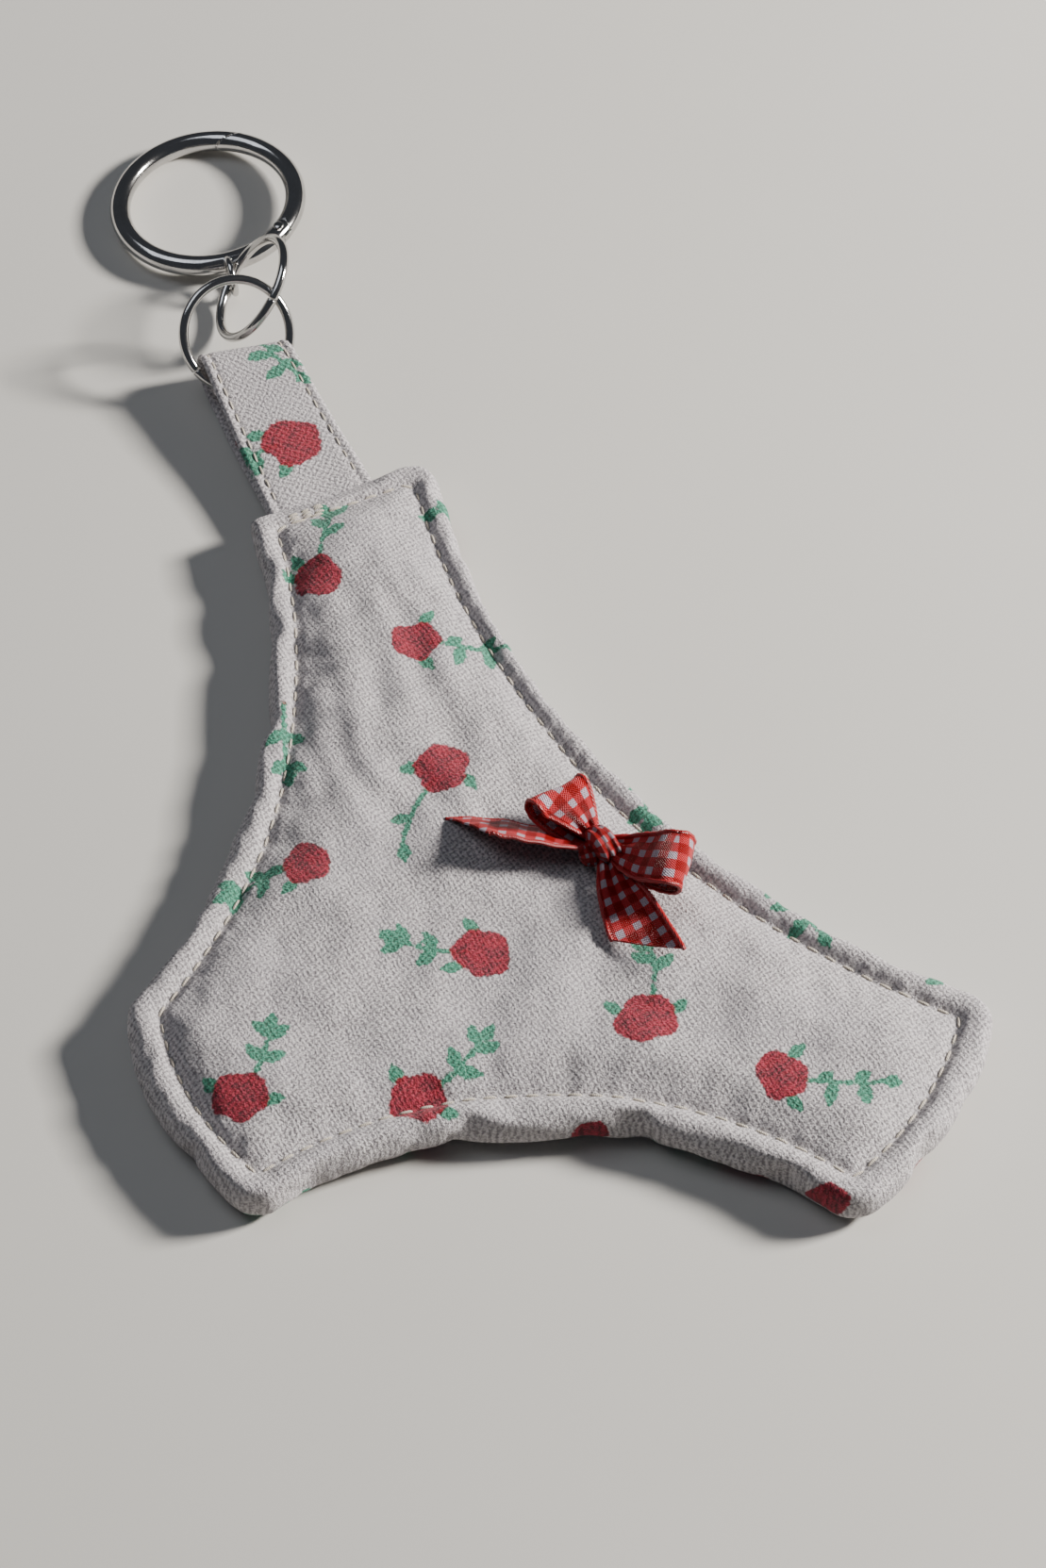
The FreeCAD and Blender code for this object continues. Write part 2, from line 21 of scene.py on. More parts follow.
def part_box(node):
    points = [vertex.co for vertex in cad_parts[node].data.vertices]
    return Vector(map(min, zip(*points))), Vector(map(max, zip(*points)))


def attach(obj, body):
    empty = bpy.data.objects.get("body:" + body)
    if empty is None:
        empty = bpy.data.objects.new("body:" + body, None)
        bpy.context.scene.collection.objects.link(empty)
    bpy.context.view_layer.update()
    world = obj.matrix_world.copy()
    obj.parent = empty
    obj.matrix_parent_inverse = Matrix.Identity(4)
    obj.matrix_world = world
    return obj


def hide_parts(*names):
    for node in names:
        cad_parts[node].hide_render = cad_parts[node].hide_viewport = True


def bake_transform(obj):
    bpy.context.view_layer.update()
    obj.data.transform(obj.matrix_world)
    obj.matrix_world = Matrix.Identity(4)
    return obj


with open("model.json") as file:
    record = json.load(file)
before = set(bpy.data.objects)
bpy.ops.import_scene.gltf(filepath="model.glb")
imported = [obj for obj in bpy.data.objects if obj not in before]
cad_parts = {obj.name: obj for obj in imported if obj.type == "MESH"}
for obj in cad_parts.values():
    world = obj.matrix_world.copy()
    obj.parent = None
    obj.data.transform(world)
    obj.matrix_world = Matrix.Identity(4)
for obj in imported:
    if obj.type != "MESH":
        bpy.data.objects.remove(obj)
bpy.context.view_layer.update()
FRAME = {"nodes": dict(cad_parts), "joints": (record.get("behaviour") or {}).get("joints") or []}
MM = 0.001
TAU = 2 * math.pi
log = logging.getLogger("charm")


# ------------------------------------------------------------------ small helpers
def deselect() -> None:
    """Leave nothing selected, so that an operator acts on one piece only."""
    if bpy.context.mode != "OBJECT":
        bpy.ops.object.mode_set(mode="OBJECT")
    bpy.ops.object.select_all(action="DESELECT")


def pick(piece: bpy.types.Object) -> bpy.types.Object:
    """Make one piece the only selected and the active one.

    Args:
        piece: The object to select.

    Returns:
        The same object.
    """
    deselect()
    piece.select_set(True)
    bpy.context.view_layer.objects.active = piece
    return piece


def settle(piece: bpy.types.Object) -> None:
    """Apply a piece's place, turn and scale to its mesh."""
    pick(piece)
    bpy.ops.object.transform_apply(location=True, rotation=True, scale=True)


def apply_modifier(piece: bpy.types.Object, kind: str, **settings: object) -> None:
    """Add a modifier to a piece and apply it.

    Args:
        piece: The object to change.
        kind: Blender's name of the modifier type.
        **settings: Values of the modifier's properties.
    """
    modifier = piece.modifiers.new(kind.lower(), kind)
    for key, value in settings.items():
        setattr(modifier, key, value)
    pick(piece)
    bpy.ops.object.modifier_apply(modifier=modifier.name)


def mesh_piece(name: str, points: np.ndarray, faces: list) -> bpy.types.Object:
    """Make an object from points in millimetres.

    Args:
        name: Name of the piece.
        points: N by 3 array of points.
        faces: Lists of point numbers.

    Returns:
        The new object, smooth shaded.
    """
    mesh = bpy.data.meshes.new(name)
    mesh.from_pydata((np.asarray(points, float) * MM).tolist(), [], faces)
    mesh.validate()
    piece = bpy.data.objects.new(name, mesh)
    bpy.context.scene.collection.objects.link(piece)
    mesh.polygons.foreach_set("use_smooth", [True] * len(mesh.polygons))
    return piece


def points_of(piece: bpy.types.Object) -> np.ndarray:
    """Return a piece's mesh points in millimetres as an N by 3 array."""
    flat = np.empty(len(piece.data.vertices) * 3)
    piece.data.vertices.foreach_get("co", flat)
    return flat.reshape(-1, 3) / MM


def set_points(piece: bpy.types.Object, points: np.ndarray) -> None:
    """Write a piece's mesh points back, from millimetres."""
    piece.data.vertices.foreach_set("co", (points * MM).ravel())
    piece.data.update()


def set_field(piece: bpy.types.Object, name: str, values: np.ndarray) -> None:
    """Store one number for each point of a piece under a name that a finish reads."""
    attribute = piece.data.attributes.new(name, "FLOAT", "POINT")
    attribute.data.foreach_set("value", np.asarray(values, np.float32))


def ripple(points: np.ndarray, pitch: float, seed: int, waves: int = 7) -> np.ndarray:
    """Smooth uneven height over a plane, from a few crossing waves.

    Args:
        points: N by 2 or N by 3 array in millimetres.
        pitch: Usual distance between crests.
        seed: Number that picks the waves.
        waves: How many waves are added.

    Returns:
        N heights, mostly within -1 to 1.
    """
    draw = np.random.default_rng(seed)
    total = np.zeros(len(points))
    for _ in range(waves):
        course = draw.uniform(0, TAU)
        span = pitch * draw.uniform(0.7, 1.7)
        along = points[:, 0] * math.cos(course) + points[:, 1] * math.sin(course)
        total += np.sin(along * TAU / span + draw.uniform(0, TAU))
    return total / math.sqrt(waves)


def gap_to_line(points: np.ndarray, line: np.ndarray, closed: bool = True) -> np.ndarray:
    """Distance in the plan from points to a line of points.

    Args:
        points: N by 2 array.
        line: M by 2 array.
        closed: Whether the last point joins the first.

    Returns:
        N distances.
    """
    start = line if closed else line[:-1]
    end = np.roll(line, -1, axis=0) if closed else line[1:]
    run = end - start
    long = np.maximum((run**2).sum(1), 1e-12)
    best = np.full(len(points), 1e9)
    for low in range(0, len(points), 20000):
        part = points[low : low + 20000]
        away = part[:, None, :] - start[None]
        share = np.clip((away * run[None]).sum(2) / long[None], 0, 1)
        off = away - share[..., None] * run[None]
        best[low : low + 20000] = np.sqrt((off**2).sum(2)).min(1)
    return best


def inside(points: np.ndarray, line: np.ndarray) -> np.ndarray:
    """Say which points of the plan lie inside a closed line.

    Args:
        points: N by 2 array.
        line: M by 2 array.

    Returns:
        N truth values.
    """
    hit = np.zeros(len(points), bool)
    for a, b in zip(line, np.roll(line, -1, axis=0)):
        crosses = (a[1] > points[:, 1]) != (b[1] > points[:, 1])
        level = (points[:, 1] - a[1]) / (b[1] - a[1] if b[1] != a[1] else 1e-12)
        hit ^= crosses & (points[:, 0] < a[0] + level * (b[0] - a[0]))
    return hit


def smooth_run(stations: np.ndarray, count: int) -> np.ndarray:
    """Points evenly spread along a smooth line through stations.

    Args:
        stations: N by K array; each column is carried along.
        count: How many points to return.

    Returns:
        count by K array.
    """
    padded = np.vstack([2 * stations[0] - stations[1], stations, 2 * stations[-1] - stations[-2]])
    rows = []
    for number in range(1, len(padded) - 2):
        before, here, there, after = padded[number - 1 : number + 3]
        for share in np.linspace(0, 1, 24, endpoint=False):
            rows.append(
                0.5
                * (
                    2 * here
                    + (there - before) * share
                    + (2 * before - 5 * here + 4 * there - after) * share**2
                    + (3 * here - before - 3 * there + after) * share**3
                )
            )
    rows.append(stations[-1])
    rows = np.array(rows)
    step = np.r_[0, np.cumsum(np.linalg.norm(np.diff(rows[:, :3], axis=0), axis=1))]
    places = np.linspace(0, step[-1], count)
    return np.column_stack([np.interp(places, step, rows[:, k]) for k in range(rows.shape[1])])


# ------------------------------------------------------------------ finishes
class Wiring:
    """Short way to lay out one material's nodes."""

    def __init__(self, name: str) -> None:
        """Start an empty material with one shader.

        Args:
            name: Name of the material.
        """
        self.material = bpy.data.materials.new(name)
        self.material.use_nodes = True
        self.tree = self.material.node_tree
        self.shader = self.tree.nodes["Principled BSDF"]

    def node(self, kind: str, links: dict | None = None, **values: object) -> bpy.types.Node:
        """Add a node.

        Args:
            kind: Blender's node type.
            links: Input name or number to the socket or value that feeds it.
            **values: Properties of the node.

        Returns:
            The node.
        """
        made = self.tree.nodes.new(kind)
        for key, value in values.items():
            setattr(made, key, value)
        for key, value in (links or {}).items():
            self.feed(made.inputs[key], value)
        return made

    def feed(self, socket: bpy.types.NodeSocket, value: object) -> None:
        """Link a socket to another, or set its value."""
        if isinstance(value, bpy.types.NodeSocket):
            self.tree.links.new(value, socket)
        else:
            socket.default_value = value

    def math(self, operation: str, *terms: object) -> bpy.types.NodeSocket:
        """Return the result socket of a math node over up to three terms."""
        return self.node("ShaderNodeMath", dict(enumerate(terms)), operation=operation).outputs[0]

    def mix(self, share: object, first: object, second: object) -> bpy.types.NodeSocket:
        """Return a colour between two others."""
        made = self.tree.nodes.new("ShaderNodeMix")
        made.data_type = "RGBA"
        for number, value in ((0, share), (6, first), (7, second)):
            self.feed(made.inputs[number], value)
        return made.outputs[2]

    def noise(self, place: object, scale: float, detail: float = 2.0) -> bpy.types.NodeSocket:
        """Return the value of a noise texture at a place."""
        links = {"Vector": place, "Scale": scale, "Detail": detail}
        return self.node("ShaderNodeTexNoise", links).outputs["Fac"]

    def ramp(self, value: object, low: float, high: float, to: tuple = (0.0, 1.0)) -> bpy.types.NodeSocket:
        """Return a value carried from one range to another and clamped."""
        links = {"Value": value, "From Min": low, "From Max": high, "To Min": to[0], "To Max": to[1]}
        return self.node("ShaderNodeMapRange", links, interpolation_type="SMOOTHSTEP").outputs[0]

    def bump(self, height: object, depth: float, strength: float = 1.0) -> None:
        """Give the shader a bump of a depth in millimetres."""
        links = {"Height": height, "Distance": depth * MM, "Strength": strength}
        made = self.node("ShaderNodeBump", links)
        self.feed(self.shader.inputs["Normal"], made.outputs["Normal"])

    def millimetres(self, turn: float = 0.0) -> bpy.types.NodeSocket:
        """Return object coordinates in millimetres, turned about the upright axis in degrees."""
        place = self.node("ShaderNodeTexCoord").outputs["Object"]
        links = {"Vector": place, "Scale": (1 / MM,) * 3, "Rotation": (0, 0, math.radians(turn))}
        return self.node("ShaderNodeMapping", links).outputs[0]

    def laid_out(self) -> bpy.types.NodeSocket:
        """Return the piece's own cloth coordinates, in millimetres along and across it."""
        return self.node("ShaderNodeUVMap", uv_map="cloth").outputs[0]


Colour = tuple[float, float, float, float]


@dataclass(frozen=True)
class PrintedKnit:
    """Off-white brushed knit with rosebuds printed on it."""

    name: str = "printed_knit"
    ground: Colour = (0.68, 0.64, 0.645, 1)
    # gap is painted shade: the dark tone laid in the hollows between the knit's loops.
    gap: Colour = (0.24, 0.22, 0.23, 1)
    rose: Colour = (0.27, 0.003, 0.016, 1)
    rose_deep: Colour = (0.075, 0.002, 0.007, 1)
    rose_worn: Colour = (0.44, 0.022, 0.062, 1)
    leaf: Colour = (0.025, 0.22, 0.13, 1)
    leaf_worn: Colour = (0.13, 0.42, 0.29, 1)
    wale: float = 0.69
    course: float = 0.87
    on_strap: bool = False

    def make(self) -> bpy.types.Material:
        """Build the material: crossing rows of loops with painted shade between them, loose fibres, and the print over
        them.
        """
        w = Wiring(self.name)
        place = w.laid_out() if self.on_strap else w.millimetres(8)
        fibres = w.noise(place, 4.5, 4)
        drift = w.noise(place, 0.10, 3)
        wander = w.node(
            "ShaderNodeVectorMath",
            {0: w.node("ShaderNodeTexNoise", {"Vector": place, "Scale": 0.55}).outputs["Color"], "Scale": 0.9},
            operation="SCALE",
        ).outputs[0]
        bent = w.node("ShaderNodeVectorMath", {0: place, 1: wander}, operation="ADD").outputs[0]
        split = w.node("ShaderNodeSeparateXYZ", {0: bent})
        rows = [
            w.math("SINE", w.math("MULTIPLY", split.outputs[number], TAU / pitch))
            for number, pitch in enumerate((self.wale, self.course))
        ]
        loops = w.math("MULTIPLY", rows[0], rows[1])
        pile = w.math("ADD", w.math("MULTIPLY", loops, 0.17), w.math("MULTIPLY", fibres, 1.25))
        # Painted shade: where the pile is low, between the loops, the ground darkens towards the gap colour.
        shade = w.ramp(pile, 0.36, 0.86)
        ground = w.mix(shade, self.gap, self.ground)
        ground = w.mix(w.ramp(drift, 0.38, 0.66, (0.0, 0.22)), ground, (0.46, 0.43, 0.46, 1))
        ragged = w.math("MULTIPLY", w.math("SUBTRACT", w.noise(place, 1.7, 3), 0.5), 0.9)
        worn = w.ramp(w.math("ADD", w.noise(place, 6.0, 2), w.math("MULTIPLY", loops, 0.10)), 0.44, 0.66, (0.0, 0.75))
        deep = w.ramp(w.noise(place, 0.9, 3), 0.46, 0.62, (0.0, 0.85))
        for name, tone, dark, thin, edge in (
            ("leaf", self.leaf, self.leaf, self.leaf_worn, 0.10),
            ("rose", self.rose, self.rose_deep, self.rose_worn, 0.14),
        ):
            reach = w.node("ShaderNodeAttribute", attribute_name=name).outputs["Fac"]
            mask = w.ramp(w.math("ADD", reach, ragged), edge, -edge)
            ink = w.mix(worn, w.mix(deep, tone, dark), thin)
            # Painted shade: the ink darkens too where the pile is low, between the loops.
            ink = w.mix(w.ramp(shade, 0.0, 0.7, (0.5, 0.0)), ink, (0.04, 0.012, 0.015, 1))
            ground = w.mix(w.math("MULTIPLY", mask, 0.95), ground, ink)
        w.feed(w.shader.inputs["Base Color"], ground)
        w.shader.inputs["Roughness"].default_value = 0.92
        w.shader.inputs["Specular IOR Level"].default_value = 0.12
        w.shader.inputs["Sheen Weight"].default_value = 0.12
        w.shader.inputs["Sheen Roughness"].default_value = 0.55
        w.bump(w.math("ADD", pile, w.math("MULTIPLY", w.noise(place, 12.0, 3), 0.35)), 0.24, 0.9)
        return w.material


@dataclass(frozen=True)
class Thread:
    """Twisted sewing thread."""

    name: str = "cream_thread"
    colour: Colour = (0.62, 0.56, 0.47, 1)
    shade: Colour = (0.36, 0.31, 0.25, 1)
    twist: float = 5.0
    gloss: float = 0.55

    def make(self) -> bpy.types.Material:
        """Build the material: fine plies that run round the thread."""
        w = Wiring(self.name)
        place = w.millimetres(33)
        plies = w.node(
            "ShaderNodeTexWave",
            {"Vector": place, "Scale": self.twist / 2, "Distortion": 1.2, "Detail": 1.0},
            bands_direction="DIAGONAL",
        ).outputs["Fac"]
        fibre = w.noise(place, 11.0, 3)
        mixed = w.math("ADD", w.math("MULTIPLY", plies, 0.6), w.math("MULTIPLY", fibre, 0.4))
        w.feed(w.shader.inputs["Base Color"], w.mix(mixed, self.shade, self.colour))
        w.shader.inputs["Roughness"].default_value = self.gloss
        w.shader.inputs["Sheen Weight"].default_value = 0.15
        w.bump(mixed, 0.06)
        return w.material


@dataclass(frozen=True)
class GinghamWeave:
    """Narrow woven ribbon in red and white checks with glossy threads."""

    name: str = "gingham_weave"
    white: Colour = (0.60, 0.51, 0.60, 1)
    red: Colour = (0.33, 0.0004, 0.0012, 1)
    blend: Colour = (0.58, 0.001, 0.003, 1)
    check: float = 2.0
    pitch: float = 0.26

    def make(self) -> bpy.types.Material:
        """Build the material from stripes along and across the ribbon and the threads that cross, with painted shade
        in the grooves between warp threads.
        """
        w = Wiring(self.name)
        split = w.node("ShaderNodeSeparateXYZ", {0: w.laid_out()})
        along, across = split.outputs[0], split.outputs[1]

        def stripe(run: bpy.types.NodeSocket, shift: float) -> bpy.types.NodeSocket:
            wave = w.math("COSINE", w.math("MULTIPLY", w.math("ADD", run, shift), TAU / self.check))
            return w.ramp(wave, 0.02, 0.40)

        def threads(run: bpy.types.NodeSocket) -> bpy.types.NodeSocket:
            return w.math("SINE", w.math("MULTIPLY", run, TAU / self.pitch))

        weft, warp = stripe(along, 0.0), stripe(across, 0.0)
        over = w.ramp(w.math("MULTIPLY", threads(along), threads(across)), -0.25, 0.25)
        pale = w.math("MULTIPLY", weft, warp)
        either = w.math("SUBTRACT", w.math("MAXIMUM", weft, warp), pale)
        stitched = w.math("MULTIPLY", either, w.math("MULTIPLY", over, 0.13))
        tone = w.mix(either, self.red, self.blend)
        tone = w.mix(w.math("MAXIMUM", w.ramp(pale, 0.2, 0.8, (0.0, 0.94)), stitched), tone, self.white)
        # Painted shade: thin dark lines along the ribbon in the low grooves between the warp threads, where the bump
        # dips too.
        lines = w.ramp(w.math("ABSOLUTE", threads(w.math("MULTIPLY", across, 0.5))), 0.0, 0.5, (0.55, 1.0))
        tone = w.mix(w.math("SUBTRACT", 1.0, lines), tone, (0.20, 0.004, 0.008, 1))
        w.feed(w.shader.inputs["Base Color"], tone)
        w.feed(w.shader.inputs["Roughness"], w.ramp(over, 0.0, 1.0, (0.50, 0.30)))
        w.shader.inputs["Specular IOR Level"].default_value = 0.32
        height = w.math("ADD", w.math("MULTIPLY", threads(along), threads(across)), lines)
        w.bump(height, 0.09)
        return w.material


@dataclass(frozen=True)
class NickelPlate:
    """Bright plated metal with faint smears and fine scuffs."""

    name: str = "nickel_plate"
    tone: Colour = (0.62, 0.61, 0.60, 1)
    dull: Colour = (0.46, 0.45, 0.44, 1)
    smooth: float = 0.07
    scuffed: float = 0.20

    def make(self) -> bpy.types.Material:
        """Build the material: tone and roughness both vary with wear."""
        w = Wiring(self.name)
        place = w.millimetres()
        smear = w.noise(place, 0.35, 3)
        scuff = w.noise(place, 6.0, 4)
        wear = w.math("ADD", w.math("MULTIPLY", smear, 0.6), w.math("MULTIPLY", scuff, 0.4))
        w.feed(w.shader.inputs["Base Color"], w.mix(w.ramp(wear, 0.35, 0.7), self.tone, self.dull))
        w.feed(w.shader.inputs["Roughness"], w.ramp(wear, 0.3, 0.75, (self.smooth, self.scuffed)))
        w.shader.inputs["Metallic"].default_value = 1.0
        w.bump(scuff, 0.004)
        return w.material


@dataclass(frozen=True)
class PaleFloor:
    """Plain matt surface that the charm lies on."""

    name: str = "pale_floor"
    tone: Colour = (0.56, 0.545, 0.51, 1)

    def make(self) -> bpy.types.Material:
        """Build the material with the faintest unevenness."""
        w = Wiring(self.name)
        cloud = w.noise(w.millimetres(), 0.02, 2)
        w.feed(w.shader.inputs["Base Color"], w.mix(cloud, self.tone, (0.60, 0.585, 0.55, 1)))
        w.shader.inputs["Roughness"].default_value = 0.95
        return w.material


class Finish(Enum):
    """Every finish of the charm, by the part of it that wears it."""

    KNIT = PrintedKnit()
    STRAP_KNIT = PrintedKnit(name="printed_knit_strap", on_strap=True)
    THREAD = Thread()
    SELVEDGE = Thread(name="red_selvedge", colour=(0.50, 0.002, 0.006, 1), shade=(0.18, 0.001, 0.002, 1),
                      gloss=0.34)
    TACK = Thread(name="white_tack_thread", colour=(0.80, 0.78, 0.76, 1), shade=(0.5, 0.47, 0.46, 1))
    GINGHAM = GinghamWeave()
    NICKEL = NickelPlate()
    SPRING = NickelPlate(name="spring_wire", tone=(0.5, 0.5, 0.5, 1), smooth=0.25, scuffed=0.45)
    FLOOR = PaleFloor()


MATERIALS: dict[Finish, bpy.types.Material] = {}


def material(finish: Finish) -> bpy.types.Material:
    """Return the material of a finish, made the first time it is asked for."""
    if finish not in MATERIALS:
        MATERIALS[finish] = finish.value.make()
    return MATERIALS[finish]


class Slot(Enum):
    """Names of the record's material slots."""

    CLOTH = "print_cloth"
    THREAD = "thread"
    RIBBON = "gingham_ribbon"
    METAL = "plated_metal"


def hand_over(piece: bpy.types.Object, body: str, nodes: tuple = (), finish: Finish | None = None) -> None:
    """Dress a finished piece, fix it to its body and log it.

    Args:
        piece: The finished object.
        body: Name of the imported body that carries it.
        nodes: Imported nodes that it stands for.
        finish: Its finish, unless it is dressed already.
    """
    if finish is not None:
        piece.data.materials.clear()
        piece.data.materials.append(material(finish))
    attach(piece, body)
    if nodes:
        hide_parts(*nodes)
    log.info("%s: %d faces, rides on %s", piece.name, len(piece.data.polygons), body)


# ------------------------------------------------------------------ outline and print
@dataclass(frozen=True)
class Outline:
    """Plan of the padded charm: six corners joined by arcs and one straight neck edge."""

    corners: tuple = ((-30.5, 33.1), (-40.6, -31.4), (-26.4, -55.6), (32.8, -56.0), (48.4, -30.8), (-10.2, 42.2))
    radii: tuple = (74.0, 36.0, 47.0, 40.0, 100.0, 9000.0)
    hollow: tuple = (True, False, True, False, True, False)
    softness: tuple = (0.45, 1.0, 1.15, 1.0, 1.0, 0.8)

    def sides(self) -> list[tuple[np.ndarray, float, float]]:
        """Return each side's circle as centre, radius and how an inward shift changes the radius."""
        found = []
        spots = np.array(self.corners)
        for number, radius in enumerate(self.radii):
            first, last = spots[number], spots[(number + 1) % len(spots)]
            chord = last - first
            half = np.linalg.norm(chord) / 2
            left = np.array([-chord[1], chord[0]]) / (2 * half)
            sign = 1.0 if self.hollow[number] else -1.0
            centre = (first + last) / 2 - left * sign * math.sqrt(radius**2 - half**2)
            found.append((centre, radius, sign))
        return found

    def loop(self, inset: float, rounding: float, pitch: float = 0.6) -> np.ndarray:
        """Closed line a distance inside the outline.

        Args:
            inset: Distance inwards.
            rounding: Radius at the corners.
            pitch: Distance between points.

        Returns:
            N by 2 array, anticlockwise.
        """
        sides = self.sides()
        spots = np.array(self.corners)
        # Bring the scene's transforms up to date.
        hubs, arrivals, departures = [], [], []
        for number, spot in enumerate(spots):
            circles = [sides[number - 1], sides[number]]
            (c0, r0, s0), (c1, r1, s1) = circles
            reach = inset + rounding * self.softness[number]
            a, b = r0 + s0 * reach, r1 + s1 * reach
            apart = np.linalg.norm(c1 - c0)
            along = (a * a - b * b + apart * apart) / (2 * apart)
            off = math.sqrt(max(a * a - along * along, 0.0))
            base = c0 + (c1 - c0) * along / apart
            side = np.array([-(c1 - c0)[1], (c1 - c0)[0]]) / apart * off
            hub = min((base + side, base - side), key=lambda p: np.linalg.norm(p - spot))
            hubs.append(hub)
            for (c, r, s), store in zip(circles, (arrivals, departures)):
                store.append(c + (hub - c) / np.linalg.norm(hub - c) * (r + s * inset))
        line = []
        for number, (centre, _, _) in enumerate(sides):
            following = (number + 1) % len(spots)
            line += self.arc(centre, departures[number], arrivals[following], pitch)
            line += self.arc(hubs[following], arrivals[following], departures[following], pitch)
        return np.array(line)

    def stitch_line(self, inset: float, drawn_out: float, pitch: float) -> np.ndarray:
        """Closed line of the edge stitches, a little nearer the edge along the neck.

        Args:
            inset: Distance inside the outline.
            drawn_out: How much nearer the edge it runs at the neck.
            pitch: Distance between points.

        Returns:
            N by 2 array.
        """
        line = self.loop(inset, 0.8, pitch)
        run = np.roll(line, -1, axis=0) - np.roll(line, 1, axis=0)
        run /= np.linalg.norm(run, axis=1, keepdims=True)
        share = self.neck_share(line)[:, None] * drawn_out
        return line + share * np.column_stack([run[:, 1], -run[:, 0]])

    @staticmethod
    def neck_share(spots: np.ndarray) -> np.ndarray:
        """Return 0 at the broad end and 1 at the neck for each spot, changing smoothly between."""
        share = np.clip((spots[:, 1] + 14) / 26, 0, 1)
        return share * share * (3 - 2 * share)

    @staticmethod
    def arc(centre: np.ndarray, start: np.ndarray, end: np.ndarray, pitch: float) -> list[np.ndarray]:
        """Points along the shorter arc from start up to but without end.

        Args:
            centre: Centre of the arc.
            start: First point.
            end: Point after the last.
            pitch: Distance between points.

        Returns:
            List of points.
        """
        radius = np.linalg.norm(start - centre)
        first = math.atan2(*(start - centre)[::-1])
        turn = (math.atan2(*(end - centre)[::-1]) - first + math.pi) % TAU - math.pi
        count = max(int(abs(turn) * radius / pitch), 3)
        angles = first + turn * np.arange(count) / count
        return [centre + radius * np.array([math.cos(t), math.sin(t)]) for t in angles]


class Spray(Enum):
    """How a printed rosebud's leaves sit: share of the stem, side, angle from the stem and length."""

    TRIO = ((0.55, 1, 50, 2.2), (0.98, 1, 20, 2.4), (0.75, -1, 55, 2.2), (1.0, -1, 42, 2.0))
    HANGING = ((0.45, 1, 100, 2.4), (0.72, 1, 85, 2.4), (0.30, -1, 45, 1.5), (0.66, -1, 40, 1.8), (1.0, 1, 10, 1.6))
    PAIRS = ((0.40, 1, 50, 2.2), (0.45, -1, 55, 2.2), (0.80, 1, 45, 2.2), (0.85, -1, 50, 2.0), (1.0, 1, 5, 1.8))
    SMALL = ((0.6, 1, 60, 1.9), (1.0, -1, 15, 1.9))
    NONE = ()


@dataclass(frozen=True)
class Rosebud:
    """One printed rosebud with its stem. Centre in millimetres, headings in degrees."""

    across: float
    along: float
    size: float = 2.8
    heading: float = 90.0
    reach: float = 8.0
    curl: float = 20.0
    spray: Spray = Spray.PAIRS
    sepals: tuple = (70.0, -70.0)
    seed: int = 1

    def stem(self) -> np.ndarray:
        """Return the stem's line from the bud outwards."""
        steps = np.linspace(0, 1, 14)
        angles = np.radians(self.heading + self.curl * (2 * steps - 1))
        step = (self.reach - self.size * 0.6) / (len(steps) - 1)
        moves = np.column_stack([np.cos(angles), np.sin(angles)]) * step
        start = np.array([self.across, self.along]) + moves[0] / step * self.size * 0.6
        return start + np.vstack([np.zeros(2), np.cumsum(moves[:-1], axis=0)])

    def bud_gap(self, spots: np.ndarray) -> np.ndarray:
        """Distance from spots to the edge of the bud, negative inside it."""
        away = spots - np.array([self.across, self.along])
        angle = np.arctan2(away[:, 1], away[:, 0])
        draw = np.random.default_rng(self.seed)
        edge = self.size * (
            1
            + 0.055 * np.sin(5 * angle + draw.uniform(0, TAU))
            + 0.05 * np.sin(3 * angle + draw.uniform(0, TAU))
            + 0.06 * np.sin(2 * angle + draw.uniform(0, TAU))
        )
        return np.linalg.norm(away, axis=1) - edge

    def leaf_gap(self, spots: np.ndarray) -> np.ndarray:
        """Distance from spots to the nearest stem, leaf or sepal, negative inside one."""
        line = self.stem()
        gap = np.full(len(spots), 50.0)
        if self.spray is not Spray.NONE:
            gap = gap_to_line(spots, line, closed=False) - 0.30
        for share, side, angle, length in self.spray.value:
            place = min(int(share * (len(line) - 1)), len(line) - 2)
            course = math.degrees(math.atan2(*(line[place + 1] - line[place])[::-1])) - side * angle
            gap = np.minimum(gap, self.blade(spots, line[place], course, length * 1.12, 0.74))
        for turn in self.sepals:
            course = self.heading + turn
            root = np.array([self.across, self.along]) + self.size * 0.85 * np.array(
                [math.cos(math.radians(course)), math.sin(math.radians(course))]
            )
            gap = np.minimum(gap, self.blade(spots, root, self.heading + turn * 0.65, 2.1, 0.72))
        return gap

    @staticmethod
    def blade(spots: np.ndarray, root: np.ndarray, course: float, length: float, half: float) -> np.ndarray:
        """Distance from spots to a pointed leaf.

        Args:
            spots: N by 2 array.
            root: Where the leaf starts.
            course: Its heading in degrees.
            length: Its length.
            half: Half its greatest width.

        Returns:
            N distances, negative inside the leaf.
        """
        run = np.array([math.cos(math.radians(course)), math.sin(math.radians(course))])
        away = spots - root
        along = away @ run
        across = np.abs(away @ np.array([-run[1], run[0]]))
        share = np.clip(along / length, 0, 1)
        beyond = np.maximum(along - length, 0) + np.maximum(-along, 0)
        return np.hypot(beyond, across) - half * np.sin(math.pi * (0.08 + 0.84 * share)) ** 0.8


@dataclass(frozen=True)
class Print:
    """Rosebuds of one printed face."""

    buds: tuple

    def dress(self, piece: bpy.types.Object, spots: np.ndarray, shown: np.ndarray) -> None:
        """Store the print's distances on a piece.

        Args:
            piece: The cloth piece.
            spots: N by 2 array, each point's place on the printed face.
            shown: N truth values, which points carry this face of the print.
        """
        rose = np.full(len(spots), 9.0)
        leaf = np.full(len(spots), 9.0)
        for bud in self.buds:
            near = shown & (np.linalg.norm(spots - [bud.across, bud.along], axis=1) < bud.reach + 5)
            rose[near] = np.minimum(rose[near], bud.bud_gap(spots[near]))
            leaf[near] = np.minimum(leaf[near], bud.leaf_gap(spots[near]))
        set_field(piece, "rose", rose)
        set_field(piece, "leaf", leaf)


